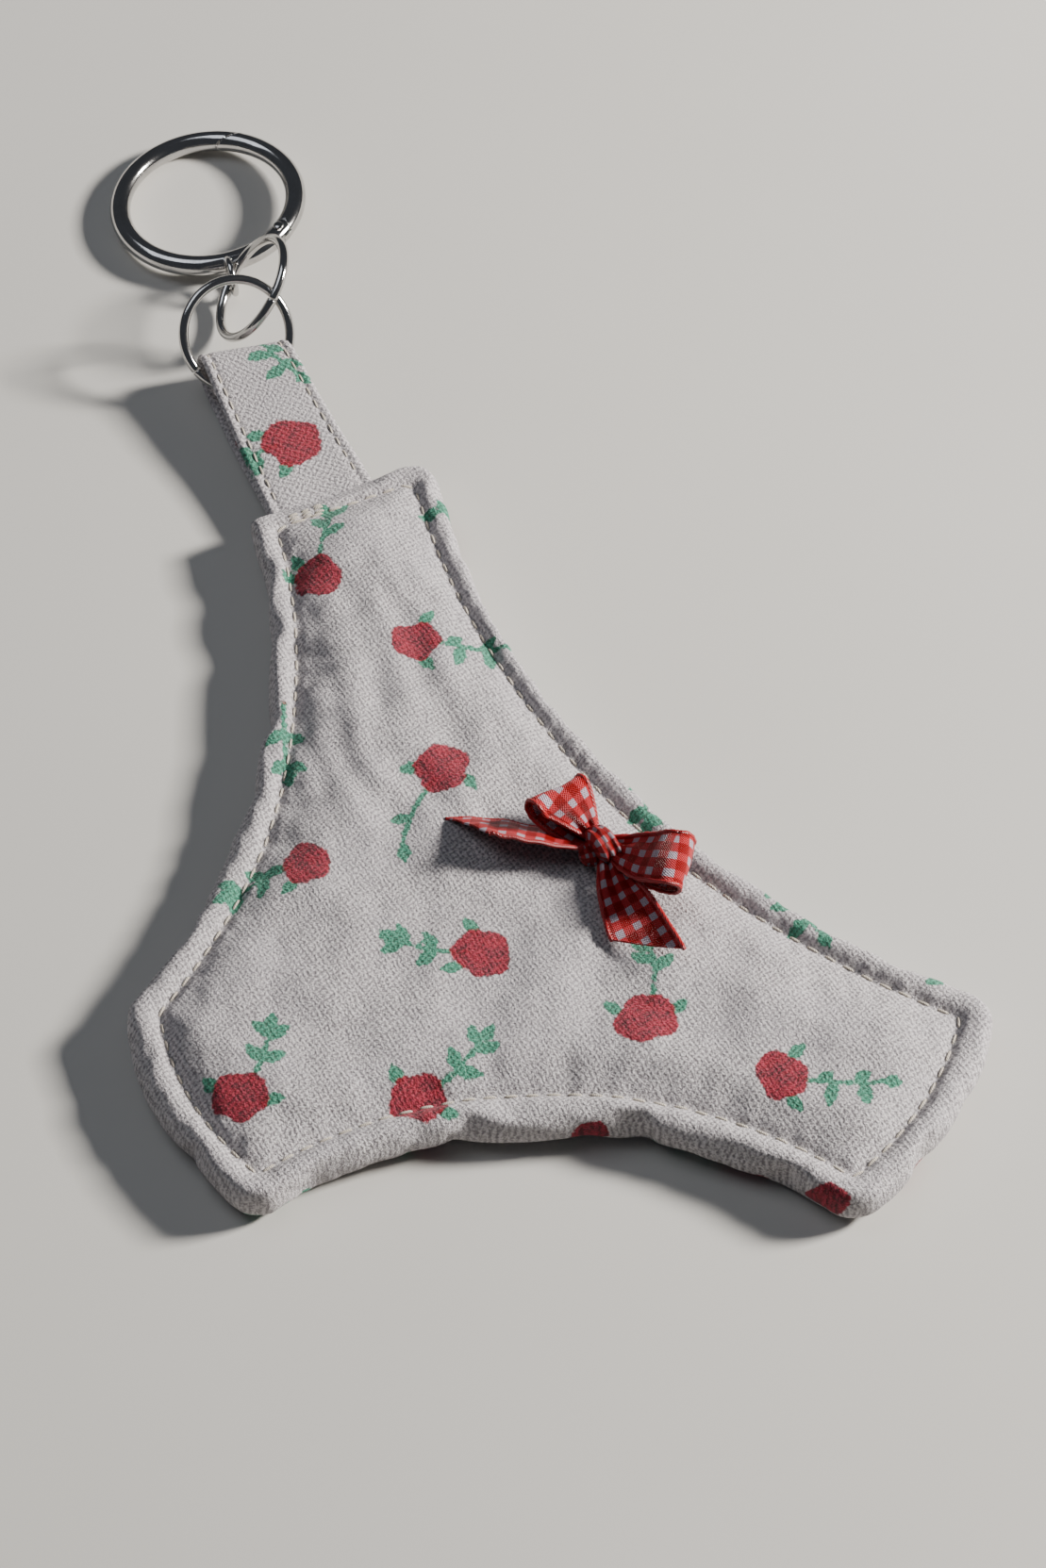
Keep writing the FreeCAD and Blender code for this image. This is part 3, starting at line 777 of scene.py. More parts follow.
FRONT_PRINT = Print(
    (
        Rosebud(-22.4, 23.8, 2.7, 80, 9.5, -8, Spray.TRIO, (60.0, 95.0), 11),
        Rosebud(-11.6, 14.6, 2.6, 3, 10.5, 10, Spray.HANGING, (75.0, -80.0), 12),
        Rosebud(-8.5, -2.6, 3.0, -108, 11.5, 14, Spray.SMALL, (82.0, -82.0), 13),
        Rosebud(-22.5, -14.9, 2.6, -155, 8.8, 12, Spray.PAIRS, (40.0, -20.0), 14),
        Rosebud(-4.2, -26.2, 2.9, 166, 9.6, -14, Spray.PAIRS, (50.0, -62.0), 15),
        Rosebud(12.5, -34.2, 3.1, 92, 9.2, 16, Spray.TRIO, (72.0, -74.0), 16),
        Rosebud(26.0, -40.8, 2.7, 0, 11.0, 12, Spray.HANGING, (68.0, -78.0), 17),
        Rosebud(-10.4, -43.0, 2.8, 50, 9.6, 14, Spray.PAIRS, (95.0, -90.0), 18),
        Rosebud(-28.3, -43.2, 2.8, 76, 8.8, 16, Spray.PAIRS, (88.0, -95.0), 19),
        Rosebud(7.2, -47.6, 2.2, -90, 8.0, 0, Spray.NONE, (), 20),
        Rosebud(30.3, -55.6, 2.6, -90, 8.0, 0, Spray.NONE, (), 21),
        Rosebud(26.6, -15.0, 1.9, -60, 9.5, 10, Spray.HANGING, (60.0, -60.0), 22),
        Rosebud(14.6, 1.6, 1.5, -98, 11.0, 8, Spray.PAIRS, (), 23),
        Rosebud(-25.6, 7.0, 0.2, -84, 9.5, 6, Spray.PAIRS, (), 24),
        Rosebud(-7.0, 33.6, 0.3, 180, 2.4, 0, Spray.SMALL, (), 25),
        Rosebud(46.5, -27.6, 0.4, 190, 3.6, 0, Spray.SMALL, (), 26),
    )
)
BACK_PRINT = Print(
    tuple(
        Rosebud(-38 + 15.5 * column + 7.5 * (row % 2), -48 + 13.5 * row, 2.7, 40 + 67 * (row * 3 + column * 5) % 360,
                9.4, 14, (Spray.PAIRS, Spray.HANGING, Spray.TRIO)[(row + column) % 3], (70.0, -75.0),
                40 + row * 7 + column)
        for row in range(7)
        for column in range(6)
    )
)
STRAP_PRINT = Print(
    (
        Rosebud(0.0, 7.9, 3.0, 205, 6.8, 30, Spray.PAIRS, (40.0, -70.0), 31),
        Rosebud(2.0, 23.4, 0.4, -72, 7.5, 14, Spray.HANGING, (), 32),
        Rosebud(-1.8, 38.0, 2.5, 30, 8.0, 16, Spray.PAIRS, (70.0, -70.0), 33),
    )
)


# ------------------------------------------------------------------ padded charm
@dataclass
class Charm:
    """The stuffed body: two faces of knit sewn round the edge, with a sunk line of stitches."""

    outline: Outline = field(default_factory=Outline)
    middle: float = 2.8
    stitch_inset: float = 3.4
    drawn_out: float = 0.7
    corner: float = 3.0
    grain: float = 1.25
    model_scale: float = 20.0
    reach_limit: float = 0.9
    insets: tuple = (0.0, 0.3, 0.8, 1.6, 2.3, 2.9, 3.4, 3.9, 4.8, 7.0, 12.0, 22.0)
    halves: tuple = (1.1, 2.05, 2.55, 2.78, 2.55, 1.9, 1.3, 1.75, 2.3, 2.6, 2.8, 2.95)
    piece: bpy.types.Object | None = None
    surface: BVHTree | None = None

    def build(self) -> None:
        """Model the cushion and its print."""
        rim = self.outline.loop(0.15, self.corner)
        count = len(rim)
        low, high = self.middle - 2.3, self.middle + 2.3
        points = np.vstack([np.column_stack([rim, np.full(count, z)]) for z in (low, high)])
        faces = [list(range(count))[::-1], list(range(count, 2 * count))]
        faces += [[k, (k + 1) % count, count + (k + 1) % count, count + k] for k in range(count)]
        self.piece = mesh_piece("pad_cushion", points, faces)
        apply_modifier(self.piece, "REMESH", mode="VOXEL", voxel_size=self.grain * MM, use_smooth_shade=True)
        points = points_of(self.piece)
        inset = self.inset_of(points)
        share = np.clip((points[:, 2] - self.middle) / 2.3, -1, 1)
        points[:, 2] = self.middle + share * np.interp(inset, self.insets, self.halves)
        points[:, 2] += 0.10 * ripple(points, 13, 5) * np.clip((inset - 4) / 4, 0, 1) * np.sign(share)
        set_points(self.piece, points)
        self.inflate(inset)
        apply_modifier(self.piece, "SMOOTH", factor=0.5, iterations=2)
        apply_modifier(self.piece, "SUBSURF", levels=2, render_levels=2)
        self.sew_in()
        self.dress()

    def inset_of(self, points: np.ndarray) -> np.ndarray:
        """Return each point's distance inside the edge, stretched at the neck to suit the stitch line."""
        inset = gap_to_line(points[:, :2], self.outline.loop(0, self.corner))
        return inset * (1 + self.outline.neck_share(points) * self.drawn_out / (self.stitch_inset - self.drawn_out))

    def inflate(self, inset: np.ndarray) -> None:
        """Blow the cushion up a little with its stitch line held.

        Args:
            inset: Each point's distance from the outline.
        """
        start = points_of(self.piece)
        set_points(self.piece, start * self.model_scale)
        held = self.piece.vertex_groups.new(name="held")
        held.add(np.flatnonzero(np.abs(inset - self.stitch_inset) < 0.75).tolist(), 1.0, "REPLACE")
        cloth = self.piece.modifiers.new("cloth", "CLOTH")
        settings = cloth.settings
        settings.quality = 6
        settings.mass = 0.3
        settings.use_pressure = True
        settings.uniform_pressure_force = 4.0
        settings.vertex_group_mass = "held"
        settings.shrink_min = -0.04
        settings.tension_stiffness = 15
        settings.compression_stiffness = 15
        settings.bending_stiffness = 0.4
        settings.effector_weights.gravity = 0.0
        cloth.collision_settings.use_collision = False
        cloth.point_cache.frame_start, cloth.point_cache.frame_end = 1, 20
        scene = bpy.context.scene
        for number in range(1, 21):
            scene.frame_set(number)
        pick(self.piece)
        bpy.ops.object.modifier_apply(modifier=cloth.name)
        scene.frame_set(1)
        moved = points_of(self.piece) / self.model_scale - start
        length = np.linalg.norm(moved, axis=1, keepdims=True)
        log.info("cushion swelled by up to %.2f mm", float(length.max()))
        capped = moved * np.minimum(1, self.reach_limit / np.maximum(length, 1e-9))
        set_points(self.piece, start + capped)
        self.piece.vertex_groups.clear()

    def sew_in(self) -> None:
        """Sink the stitch line, pucker the cloth along it, and lay soft dents over the front."""
        points = points_of(self.piece)
        stitch = self.outline.stitch_line(self.stitch_inset, self.drawn_out, 0.4)
        gap = gap_to_line(points[:, :2], stitch)
        inset = self.inset_of(points)
        top = points[:, 2] > self.middle
        side = np.where(top, 1.0, -1.0)
        reach = np.clip((inset - 0.8) / 1.2, 0, 1)
        points[:, 2] -= side * reach * 0.42 * np.exp(-((gap / 0.55) ** 2))
        inner = np.clip((inset - 4.2) / 5, 0, 1)
        folds = 0.24 * ripple(points, 12, 21) + 0.08 * ripple(points, 4.5, 22)
        neck = np.exp(-(((points[:, 0] + 13) / 11) ** 2) - ((points[:, 1] - 6) / 16) ** 2)
        creases = np.sin((points[:, 0] * 0.93 + points[:, 1] * 0.36 + 1.2 * ripple(points, 15, 23)) * TAU / 5.2)
        points[:, 2] += side * inner * (folds + 0.26 * neck * creases)
        pucker = 0.07 * ripple(points, 2.6, 24) * np.exp(-(((gap - 0.9) / 0.7) ** 2))
        points[:, 2] += side * reach * pucker
        points[:, 2] += reach * side * 0.025 * ripple(points, 1.7, 25)
        self.open_neck(points, inset)
        floor = 0.05
        low = points[:, 2] < floor + 0.35
        points[low, 2] = floor + 0.35 * np.exp((points[low, 2] - floor - 0.35) / 0.35)
        set_points(self.piece, points)

    def open_neck(self, points: np.ndarray, inset: np.ndarray) -> None:
        """Flatten the rim where the strap comes out of it.

        Args:
            points: The cushion's points, changed in place.
            inset: Each point's distance from the outline.
        """
        joint = next(j for j in FRAME["joints"] if j["name"] == "strap_bend")
        run = np.array(joint["axis"])
        off = (points - np.array(joint["pos_m"]) / MM) @ run
        out = (points - np.array(joint["pos_m"]) / MM) @ np.cross([0, 0, 1], run)
        near = np.exp(-(((off + 0.7) / 6.8) ** 8)) * (out > -7)
        cap = self.middle + 1.05 + 0.5 * inset
        over = np.maximum(points[:, 2] - cap, 0)
        points[:, 2] -= over * near

    def dress(self) -> None:
        points = points_of(self.piece)
        top = points[:, 2] > self.middle - 1.2
        plan = points[:, :2].copy()
        centre = np.array([-2.0, -18.0])
        inset = gap_to_line(plan, self.outline.loop(0, self.corner))
        drop = np.clip(1.4 - inset, 0, 1.4) * np.clip((self.middle + 2.2 - points[:, 2]) / 3, 0, 1)
        out = plan - centre
        plan += out / np.linalg.norm(out, axis=1, keepdims=True) * drop[:, None] * 1.5
        FRONT_PRINT.dress(self.piece, plan, top)
        rose = np.empty(len(points), np.float32)
        leaf = np.empty(len(points), np.float32)
        self.piece.data.attributes["rose"].data.foreach_get("value", rose)
        self.piece.data.attributes["leaf"].data.foreach_get("value", leaf)
        for name in ("rose", "leaf"):
            self.piece.data.attributes.remove(self.piece.data.attributes[name])
        BACK_PRINT.dress(self.piece, points[:, :2] * [-1, 1] + [0.0, 0.0], ~top)
        for name, front in (("rose", rose), ("leaf", leaf)):
            values = np.empty(len(points), np.float32)
            store = self.piece.data.attributes[name].data
            store.foreach_get("value", values)
            store.foreach_set("value", np.where(top, front, values).astype(np.float32))
        hand_over(self.piece, "pad", ("front_panel", "back_panel", "wadding", "closing_seam"), Finish.KNIT)
        bpy.context.view_layer.update()
        self.surface = BVHTree.FromPolygons(
            [v.co for v in self.piece.data.vertices], [p.vertices for p in self.piece.data.polygons]
        )

    def height(self, across: float, along: float, top: bool = True) -> float:
        """Height of the cushion's face at a place, in millimetres."""
        start = Vector((across * MM, along * MM, 0.03 if top else -0.03))
        spot = self.surface.ray_cast(start, Vector((0, 0, -1 if top else 1)))[0]
        return spot.z / MM if spot is not None else self.middle


# ------------------------------------------------------------------ stitches
@dataclass
class StitchRun:
    """Row of separate machine stitches along a line."""

    name: str
    thread: float = 0.30
    pitch: float = 2.15
    gap: float = 0.5
    master: bpy.types.Object | None = None

    def model_one(self) -> tuple[np.ndarray, list]:
        """Model one stitch along X, its ends dipped into the cloth.

        Returns:
            Its points in millimetres and its faces.
        """
        deselect()
        long = self.pitch - self.gap
        bpy.ops.mesh.primitive_cylinder_add(
            vertices=8, radius=self.thread / 2 * MM, depth=long * MM, rotation=(0, math.pi / 2, 0)
        )
        self.master = bpy.context.active_object
        settle(self.master)
        bpy.ops.object.mode_set(mode="EDIT")
        bpy.ops.mesh.select_all(action="SELECT")
        for share in (-0.42, -0.28, 0.0, 0.28, 0.42):
            bpy.ops.mesh.select_all(action="SELECT")
            bpy.ops.mesh.bisect(plane_co=(share * long * MM, 0, 0), plane_no=(1, 0, 0))
        bpy.ops.object.mode_set(mode="OBJECT")
        points = points_of(self.master)
        share = np.abs(points[:, 0]) / (long / 2)
        points[:, 1:] *= (1 - 0.55 * share**4)[:, None]
        points[:, 2] -= 0.32 * share**4
        faces = [list(p.vertices) for p in self.master.data.polygons]
        bpy.data.objects.remove(self.master)
        return points, faces

    def build(self, line: np.ndarray, normals: np.ndarray, closed: bool) -> bpy.types.Object:
        """Lay stitches end to end along a line.

        Args:
            line: N by 3 array of points on the cloth.
            normals: N by 3 array, the way out of the cloth.
            closed: Whether the line comes back to its start.

        Returns:
            All stitches as one piece.
        """
        shape, shape_faces = self.model_one()
        if closed:
            line = np.vstack([line, line[:1]])
            normals = np.vstack([normals, normals[:1]])
        step = np.r_[0, np.cumsum(np.linalg.norm(np.diff(line, axis=0), axis=1))]
        count = max(int(round(step[-1] / self.pitch)), 1)
        stretch = step[-1] / count / self.pitch
        draw = np.random.default_rng(7)
        points, faces = [], []
        for number in range(count):
            here = (number + 0.5) * step[-1] / count
            spot, up = (
                np.array([np.interp(here, step, values[:, k]) for k in range(3)]) for values in (line, normals)
            )
            ends = [
                np.array([np.interp(here + d, step, line[:, k]) for k in range(3)]) for d in (-0.6, 0.6)
            ]
            run = ends[1] - ends[0]
            run /= np.linalg.norm(run)
            up = up - run * (up @ run)
            up /= np.linalg.norm(up)
            side = np.cross(up, run)
            lean = draw.uniform(-0.05, 0.05)
            run, side = run * math.cos(lean) + side * math.sin(lean), side * math.cos(lean) - run * math.sin(lean)
            size = np.array([stretch * draw.uniform(0.95, 1.03), 1, 1])
            base = sum(len(p) for p in points)
            points.append(spot + (shape * size) @ np.vstack([run, side, up]))
            faces += [[v + base for v in f] for f in shape_faces]
        return mesh_piece(self.name, np.vstack(points), faces)


def sew_edge(charm: Charm) -> None:
    """Lay the topstitch round the front and the bobbin stitches round the back."""
    plan = charm.outline.stitch_line(charm.stitch_inset, charm.drawn_out, 0.5)
    for name, top, node in (("edge_stitches_front", True, "edge_topstitch"),
                            ("edge_stitches_back", False, "edge_bobbin_thread")):
        way = 1.0 if top else -1.0
        levels = np.array([charm.height(x, y, top) for x, y in plan])
        levels = (np.roll(levels, 1) + levels + np.roll(levels, -1)) / 3
        line = np.column_stack([plan, levels + way * 0.07])
        normals = np.tile([0.0, 0.0, way], (len(plan), 1))
        piece = StitchRun(name).build(line, normals, True)
        hand_over(piece, "pad", (node,), Finish.THREAD)


# ------------------------------------------------------------------ strap
@dataclass
class Strap:
    """Folded strap: a double layer of knit, sewn along both edges and looped round the strap ring."""

    width: float = 9.9
    thick: float = 0.78
    length: float = 23.5
    fold: float = 2.62
    rise: float = 0.35
    hem: float = 1.0
    tuck: float = 2.4
    skew: tuple = (-0.1, 1.3)
    root_flare: float = 0.26
    root_shift: float = -0.8

    def __post_init__(self) -> None:
        """Read the strap's place from its joint with the padded body."""
        joint = next(j for j in FRAME["joints"] if j["name"] == "strap_bend")
        low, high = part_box("strap_root")
        self.start = np.array(joint["pos_m"]) / MM
        self.start[2] = (low.z + high.z) / 2 / MM
        self.across = np.array(joint["axis"])
        self.forward = np.cross([0, 0, 1], self.across)
        self.start += self.forward * -0.9

    def path(self) -> np.ndarray:
        """Return reach and height of the loop's middle line, out along the front leg and back."""
        far = self.length - self.fold - self.thick / 2
        slope = math.asin((self.fold - 0.42) / far) + math.atan2(self.rise, far)
        down = math.asin((self.fold - 0.42) / far) - math.atan2(self.rise, far)
        rows = [(-self.tuck, 0.42), (-self.tuck / 2, 0.42), (0.0, 0.42)]
        top = (far - self.fold * math.sin(slope), self.rise + self.fold * math.cos(slope))
        for share in np.linspace(0, 1, 18)[1:]:
            sag = -0.22 * math.sin(math.pi * share)
            rows.append((top[0] * share, 0.42 + (top[1] - 0.42) * share + sag))
        for angle in np.linspace(90 + math.degrees(slope), -90 - math.degrees(down), 16)[1:-1]:
            rows.append((far + self.fold * math.cos(math.radians(angle)),
                         self.rise + self.fold * math.sin(math.radians(angle))))
        bottom = (far - self.fold * math.sin(down), self.rise - self.fold * math.cos(down))
        for share in np.linspace(1, 0, 14):
            rows.append((bottom[0] * share, -0.42 + (bottom[1] + 0.42) * share))
        rows += [(-self.tuck / 2, -0.42), (-self.tuck, -0.42)]
        return np.array(rows)

    def section(self) -> np.ndarray:
        """Return the cloth's cross-section as offsets across the strap and out of its middle."""
        edge = self.width / 2
        cross = np.r_[np.linspace(-edge, -edge + 1.6, 9), np.linspace(-edge + 1.6, 0, 6)[1:]]
        cross = np.r_[cross, -cross[:-1][::-1]]
        inset = edge - np.abs(cross)
        half = self.thick / 2 * np.interp(inset, [0, 0.12, 0.4, 0.7, 1.0, 1.3, 1.8, 5], [0.12, 0.62, 1.0, 0.95, 0.5, 0.9, 1, 1.08])
        upper = np.column_stack([cross, half])
        lower = np.column_stack([cross[::-1], -half[::-1]])
        return np.vstack([upper, lower])

    def frame_at(self, path: np.ndarray) -> tuple[np.ndarray, np.ndarray]:
        """Return points of the middle line and the way out of the cloth at each, in the part's frame."""
        run = np.gradient(path, axis=0)
        run /= np.linalg.norm(run, axis=1, keepdims=True)
        spots = self.start + path[:, :1] * self.forward + path[:, 1:] * np.array([0, 0, 1.0])
        out = -run[:, 1:] * self.forward + run[:, :1] * np.array([0, 0, 1.0])
        return spots, out

    def skewed(self, reach: np.ndarray, across: np.ndarray) -> np.ndarray:
        """Return how far the cloth is drawn forward, more along its left edge, since the strap lies askew.

        Args:
            reach: Distances along the strap.
            across: Places across it.

        Returns:
            Distances forward.
        """
        share = np.clip(reach / self.length, 0, 1) ** 1.5
        return share * (self.skew[0] - across / (self.width / 2) * self.skew[1])

    def flared(self, reach: np.ndarray) -> tuple[np.ndarray, np.ndarray]:
        """Return how much wider the strap is, and how far to its left it sits, towards its root.

        Args:
            reach: Distances along the strap.

        Returns:
            Factor on the width and shift across, for each distance.
        """
        share = 1 - np.clip(reach / self.length, 0, 1)
        return 1 + self.root_flare * share, self.root_shift * share

    def build(self) -> None:
        """Model the strap and its stitches."""
        path = self.path()
        spots, out = self.frame_at(path)
        section = self.section()
        rows, ring = len(path), len(section)
        step = np.r_[0, np.cumsum(np.linalg.norm(np.diff(path, axis=0), axis=1))]
        flare, shift = self.flared(path[:, 0])
        wide = section[None, :, :1] * flare[:, None, None] + shift[:, None, None]
        points = spots[:, None] + wide * self.across + section[None, :, 1:] * out[:, None]
        points = points.reshape(-1, 3)
        place = np.column_stack([np.tile(section[:, 0], rows), np.repeat(step - self.tuck, ring)])
        points += out.repeat(ring, 0) * (0.06 * ripple(place, 6.5, 3))[:, None]
        points += np.outer(0.10 * ripple(place[:, 1:] @ np.array([[1.0, 0.0]]), 17, 4), self.across)
        points += np.outer(self.skewed(np.repeat(path[:, 0], ring), place[:, 0]), self.forward)
        faces = [
            [r * ring + k, r * ring + (k + 1) % ring, (r + 1) * ring + (k + 1) % ring, (r + 1) * ring + k]
            for r in range(rows - 1)
            for k in range(ring)
        ]
        faces += [list(range(ring))[::-1], list(range((rows - 1) * ring, rows * ring))]
        piece = mesh_piece("strap_cloth", points, faces)
        layer = piece.data.uv_layers.new(name="cloth")
        corners = np.empty(len(piece.data.loops), int)
        piece.data.loops.foreach_get("vertex_index", corners)
        layer.data.foreach_set("uv", place[corners].ravel())
        for number, name in enumerate(("place_across", "place_along")):
            set_field(piece, name, place[:, number])
        pick(piece)
        bpy.ops.object.mode_set(mode="EDIT")
        bpy.ops.mesh.select_all(action="SELECT")
        bpy.ops.mesh.normals_make_consistent(inside=False)
        bpy.ops.object.mode_set(mode="OBJECT")
        apply_modifier(piece, "SUBSURF", levels=2, render_levels=2)
        flat = []
        for name in ("place_across", "place_along"):
            values = np.empty(len(piece.data.vertices), np.float32)
            piece.data.attributes[name].data.foreach_get("value", values)
            flat.append(values)
            piece.data.attributes.remove(piece.data.attributes[name])
        STRAP_PRINT.dress(piece, np.column_stack(flat).astype(float), np.ones(len(flat[0]), bool))
        piece.data.materials.append(material(Finish.STRAP_KNIT))
        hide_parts("strap_loop", "strap_root")
        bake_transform(piece)
        log.info("%s: %d faces, bends from pad to strap", piece.name, len(piece.data.polygons))
        for side, name in ((-1, "strap_stitch_left"), (1, "strap_stitch_right")):
            offset = side * (self.width / 2 - self.hem)
            line = spots + np.outer(offset * flare + shift, self.across) + out * (self.thick / 4 + 0.10)
            line += np.outer(self.skewed(path[:, 0], np.full(rows, offset)), self.forward)
            outer = StitchRun(name, 0.28, 1.9, 0.4).build(line[3:-2], out[3:-2], False)
            hand_over(outer, "strap", (name,), Finish.THREAD)

    def back_tack(self, charm: Charm) -> None:
        """Sew the short bar that catches the strap into the neck seam.

        Args:
            charm: The padded body that the bar lies on.
        """
        low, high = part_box("strap_bartack")
        centre = np.array([(low.x + high.x) / 2, (low.y + high.y) / 2]) / MM
        for number, shift in enumerate((-0.28, 0.05, 0.34)):
            ends = [centre + self.across[:2] * s * 2.2 + self.forward[:2] * shift for s in (-1, 1)]
            plan = np.array([ends[0] + (ends[1] - ends[0]) * s for s in np.linspace(0, 1, 9)])
            line = np.array([[x, y, charm.height(x, y) + 0.06] for x, y in plan])
            piece = StitchRun("back_tack_%d" % number, 0.30, 1.5, 0.2).build(line, np.tile([0, 0, 1.0], (9, 1)), False)
            hand_over(piece, "pad", ("strap_bartack",) if number == 0 else (), Finish.THREAD)


# ------------------------------------------------------------------ rings
def ring_place(node: str) -> tuple[Vector, Vector]:
    """Find the centre and normal of a packed wire ring.

    Args:
        node: Name of the ring's node.

    Returns:
        Centre in metres and unit normal.
    """
    spots = np.array([v.co for v in FRAME["nodes"][node].data.vertices])
    low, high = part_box(node)
    centre = (low + high) / 2
    normal = np.linalg.svd(spots - spots.mean(0), full_matrices=False)[2][2]
    normal = normal if normal[2] > 0 else -normal
    return centre, Vector(normal)


@dataclass
class WireRing:
    """Ring of round wire whose ends meet in a butt joint."""

    name: str
    node: str
    body: str
    radius: float
    wire: float = 1.12
    joint_at: float = 90.0
    joint_gap: float = 1.1

    def build(self) -> None:
        """Spin a wire section round the ring, soften its ends and set it in place."""
        deselect()
        bpy.ops.mesh.primitive_circle_add(
            vertices=28, radius=self.wire / 2 * MM, fill_type="NGON", location=(self.radius * MM, 0, 0),
            rotation=(math.pi / 2, 0, 0),
        )
        piece = bpy.context.active_object
        piece.name = self.name
        settle(piece)
        bpy.ops.object.mode_set(mode="EDIT")
        bpy.ops.mesh.select_all(action="SELECT")
        bpy.ops.mesh.spin(
            steps=120, angle=math.radians(360 - self.joint_gap), center=(0, 0, 0), axis=(0, 0, 1), use_auto_merge=False
        )
        bpy.ops.mesh.select_all(action="SELECT")
        bpy.ops.mesh.normals_make_consistent(inside=False)
        bpy.ops.object.mode_set(mode="OBJECT")
        apply_modifier(piece, "BEVEL", width=0.10 * MM, segments=3, angle_limit=math.radians(50))
        centre, normal = ring_place(self.node)
        turn = normal.to_track_quat("Z", "Y").to_matrix().to_4x4()
        spin = Matrix.Rotation(math.radians(self.joint_at), 4, "Z")
        piece.matrix_world = Matrix.Translation(centre) @ turn @ spin
        settle(piece)
        bpy.ops.object.shade_smooth_by_angle(angle=math.radians(50))
        hand_over(piece, self.body, (self.node,), Finish.NICKEL)


@dataclass
class GateRing:
    """Spring-gate ring: fixed tube, swinging arm, rivet and the spring inside."""

    rivet: float = 0.62
    rivet_height: float = 0.24

    def copied(self, node: str, name: str, body: str) -> bpy.types.Object:
        """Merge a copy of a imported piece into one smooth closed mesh.

        Args:
            node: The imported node.
            name: Name of the new piece.
            body: Body that carries it.

        Returns:
            The new piece.
        """
        source = FRAME["nodes"][node]
        piece = bpy.data.objects.new(name, source.data.copy())
        piece.data.materials.clear()
        bpy.context.scene.collection.objects.link(piece)
        pick(piece)
        bpy.ops.object.mode_set(mode="EDIT")
        bpy.ops.mesh.select_all(action="SELECT")
        bpy.ops.mesh.remove_doubles(threshold=0.002 * MM)
        bpy.ops.object.mode_set(mode="OBJECT")
        bpy.ops.object.shade_smooth_by_angle(angle=math.radians(38))
        hand_over(piece, body, (node,), Finish.NICKEL)
        return piece

    def build(self) -> None:
        """Make the tube, the arm and the rivet heads over the hinge pin."""
        self.copied("gate_ring_frame", "gate_ring_tube", "gate_ring")
        self.copied("gate_arm", "gate_arm_tube", "gate_arm")
        joint = next(j for j in FRAME["joints"] if j["name"] == "gate_open")
        axis, spot = Vector(joint["axis"]), Vector(joint["pos_m"])
        for way, name in ((1, "gate_rivet_top"), (-1, "gate_rivet_bottom")):
            deselect()
            bpy.ops.mesh.primitive_uv_sphere_add(segments=24, ring_count=14, radius=self.rivet * MM)
            piece = bpy.context.active_object
            piece.name = name
            bpy.ops.object.mode_set(mode="EDIT")
            bpy.ops.mesh.select_all(action="SELECT")
            bpy.ops.mesh.bisect(plane_co=(0, 0, 0), plane_no=(0, 0, 1), clear_inner=True, use_fill=True)
            bpy.ops.mesh.select_all(action="SELECT")
            bpy.ops.transform.resize(value=(1, 1, self.rivet_height / self.rivet))
            bpy.ops.object.mode_set(mode="OBJECT")
            turn = (axis * way).to_track_quat("Z", "Y").to_matrix().to_4x4()
            piece.matrix_world = Matrix.Translation(spot + axis * way * 1.13 * MM) @ turn
            settle(piece)
            bpy.ops.object.shade_smooth_by_angle(angle=math.radians(40))
            hand_over(piece, "gate_ring", (), Finish.NICKEL)
        for node, finish in (("gate_hinge_pin", Finish.NICKEL), ("gate_spring", Finish.SPRING)):
            FRAME["nodes"][node].data.materials.clear()
            FRAME["nodes"][node].data.materials.append(material(finish))


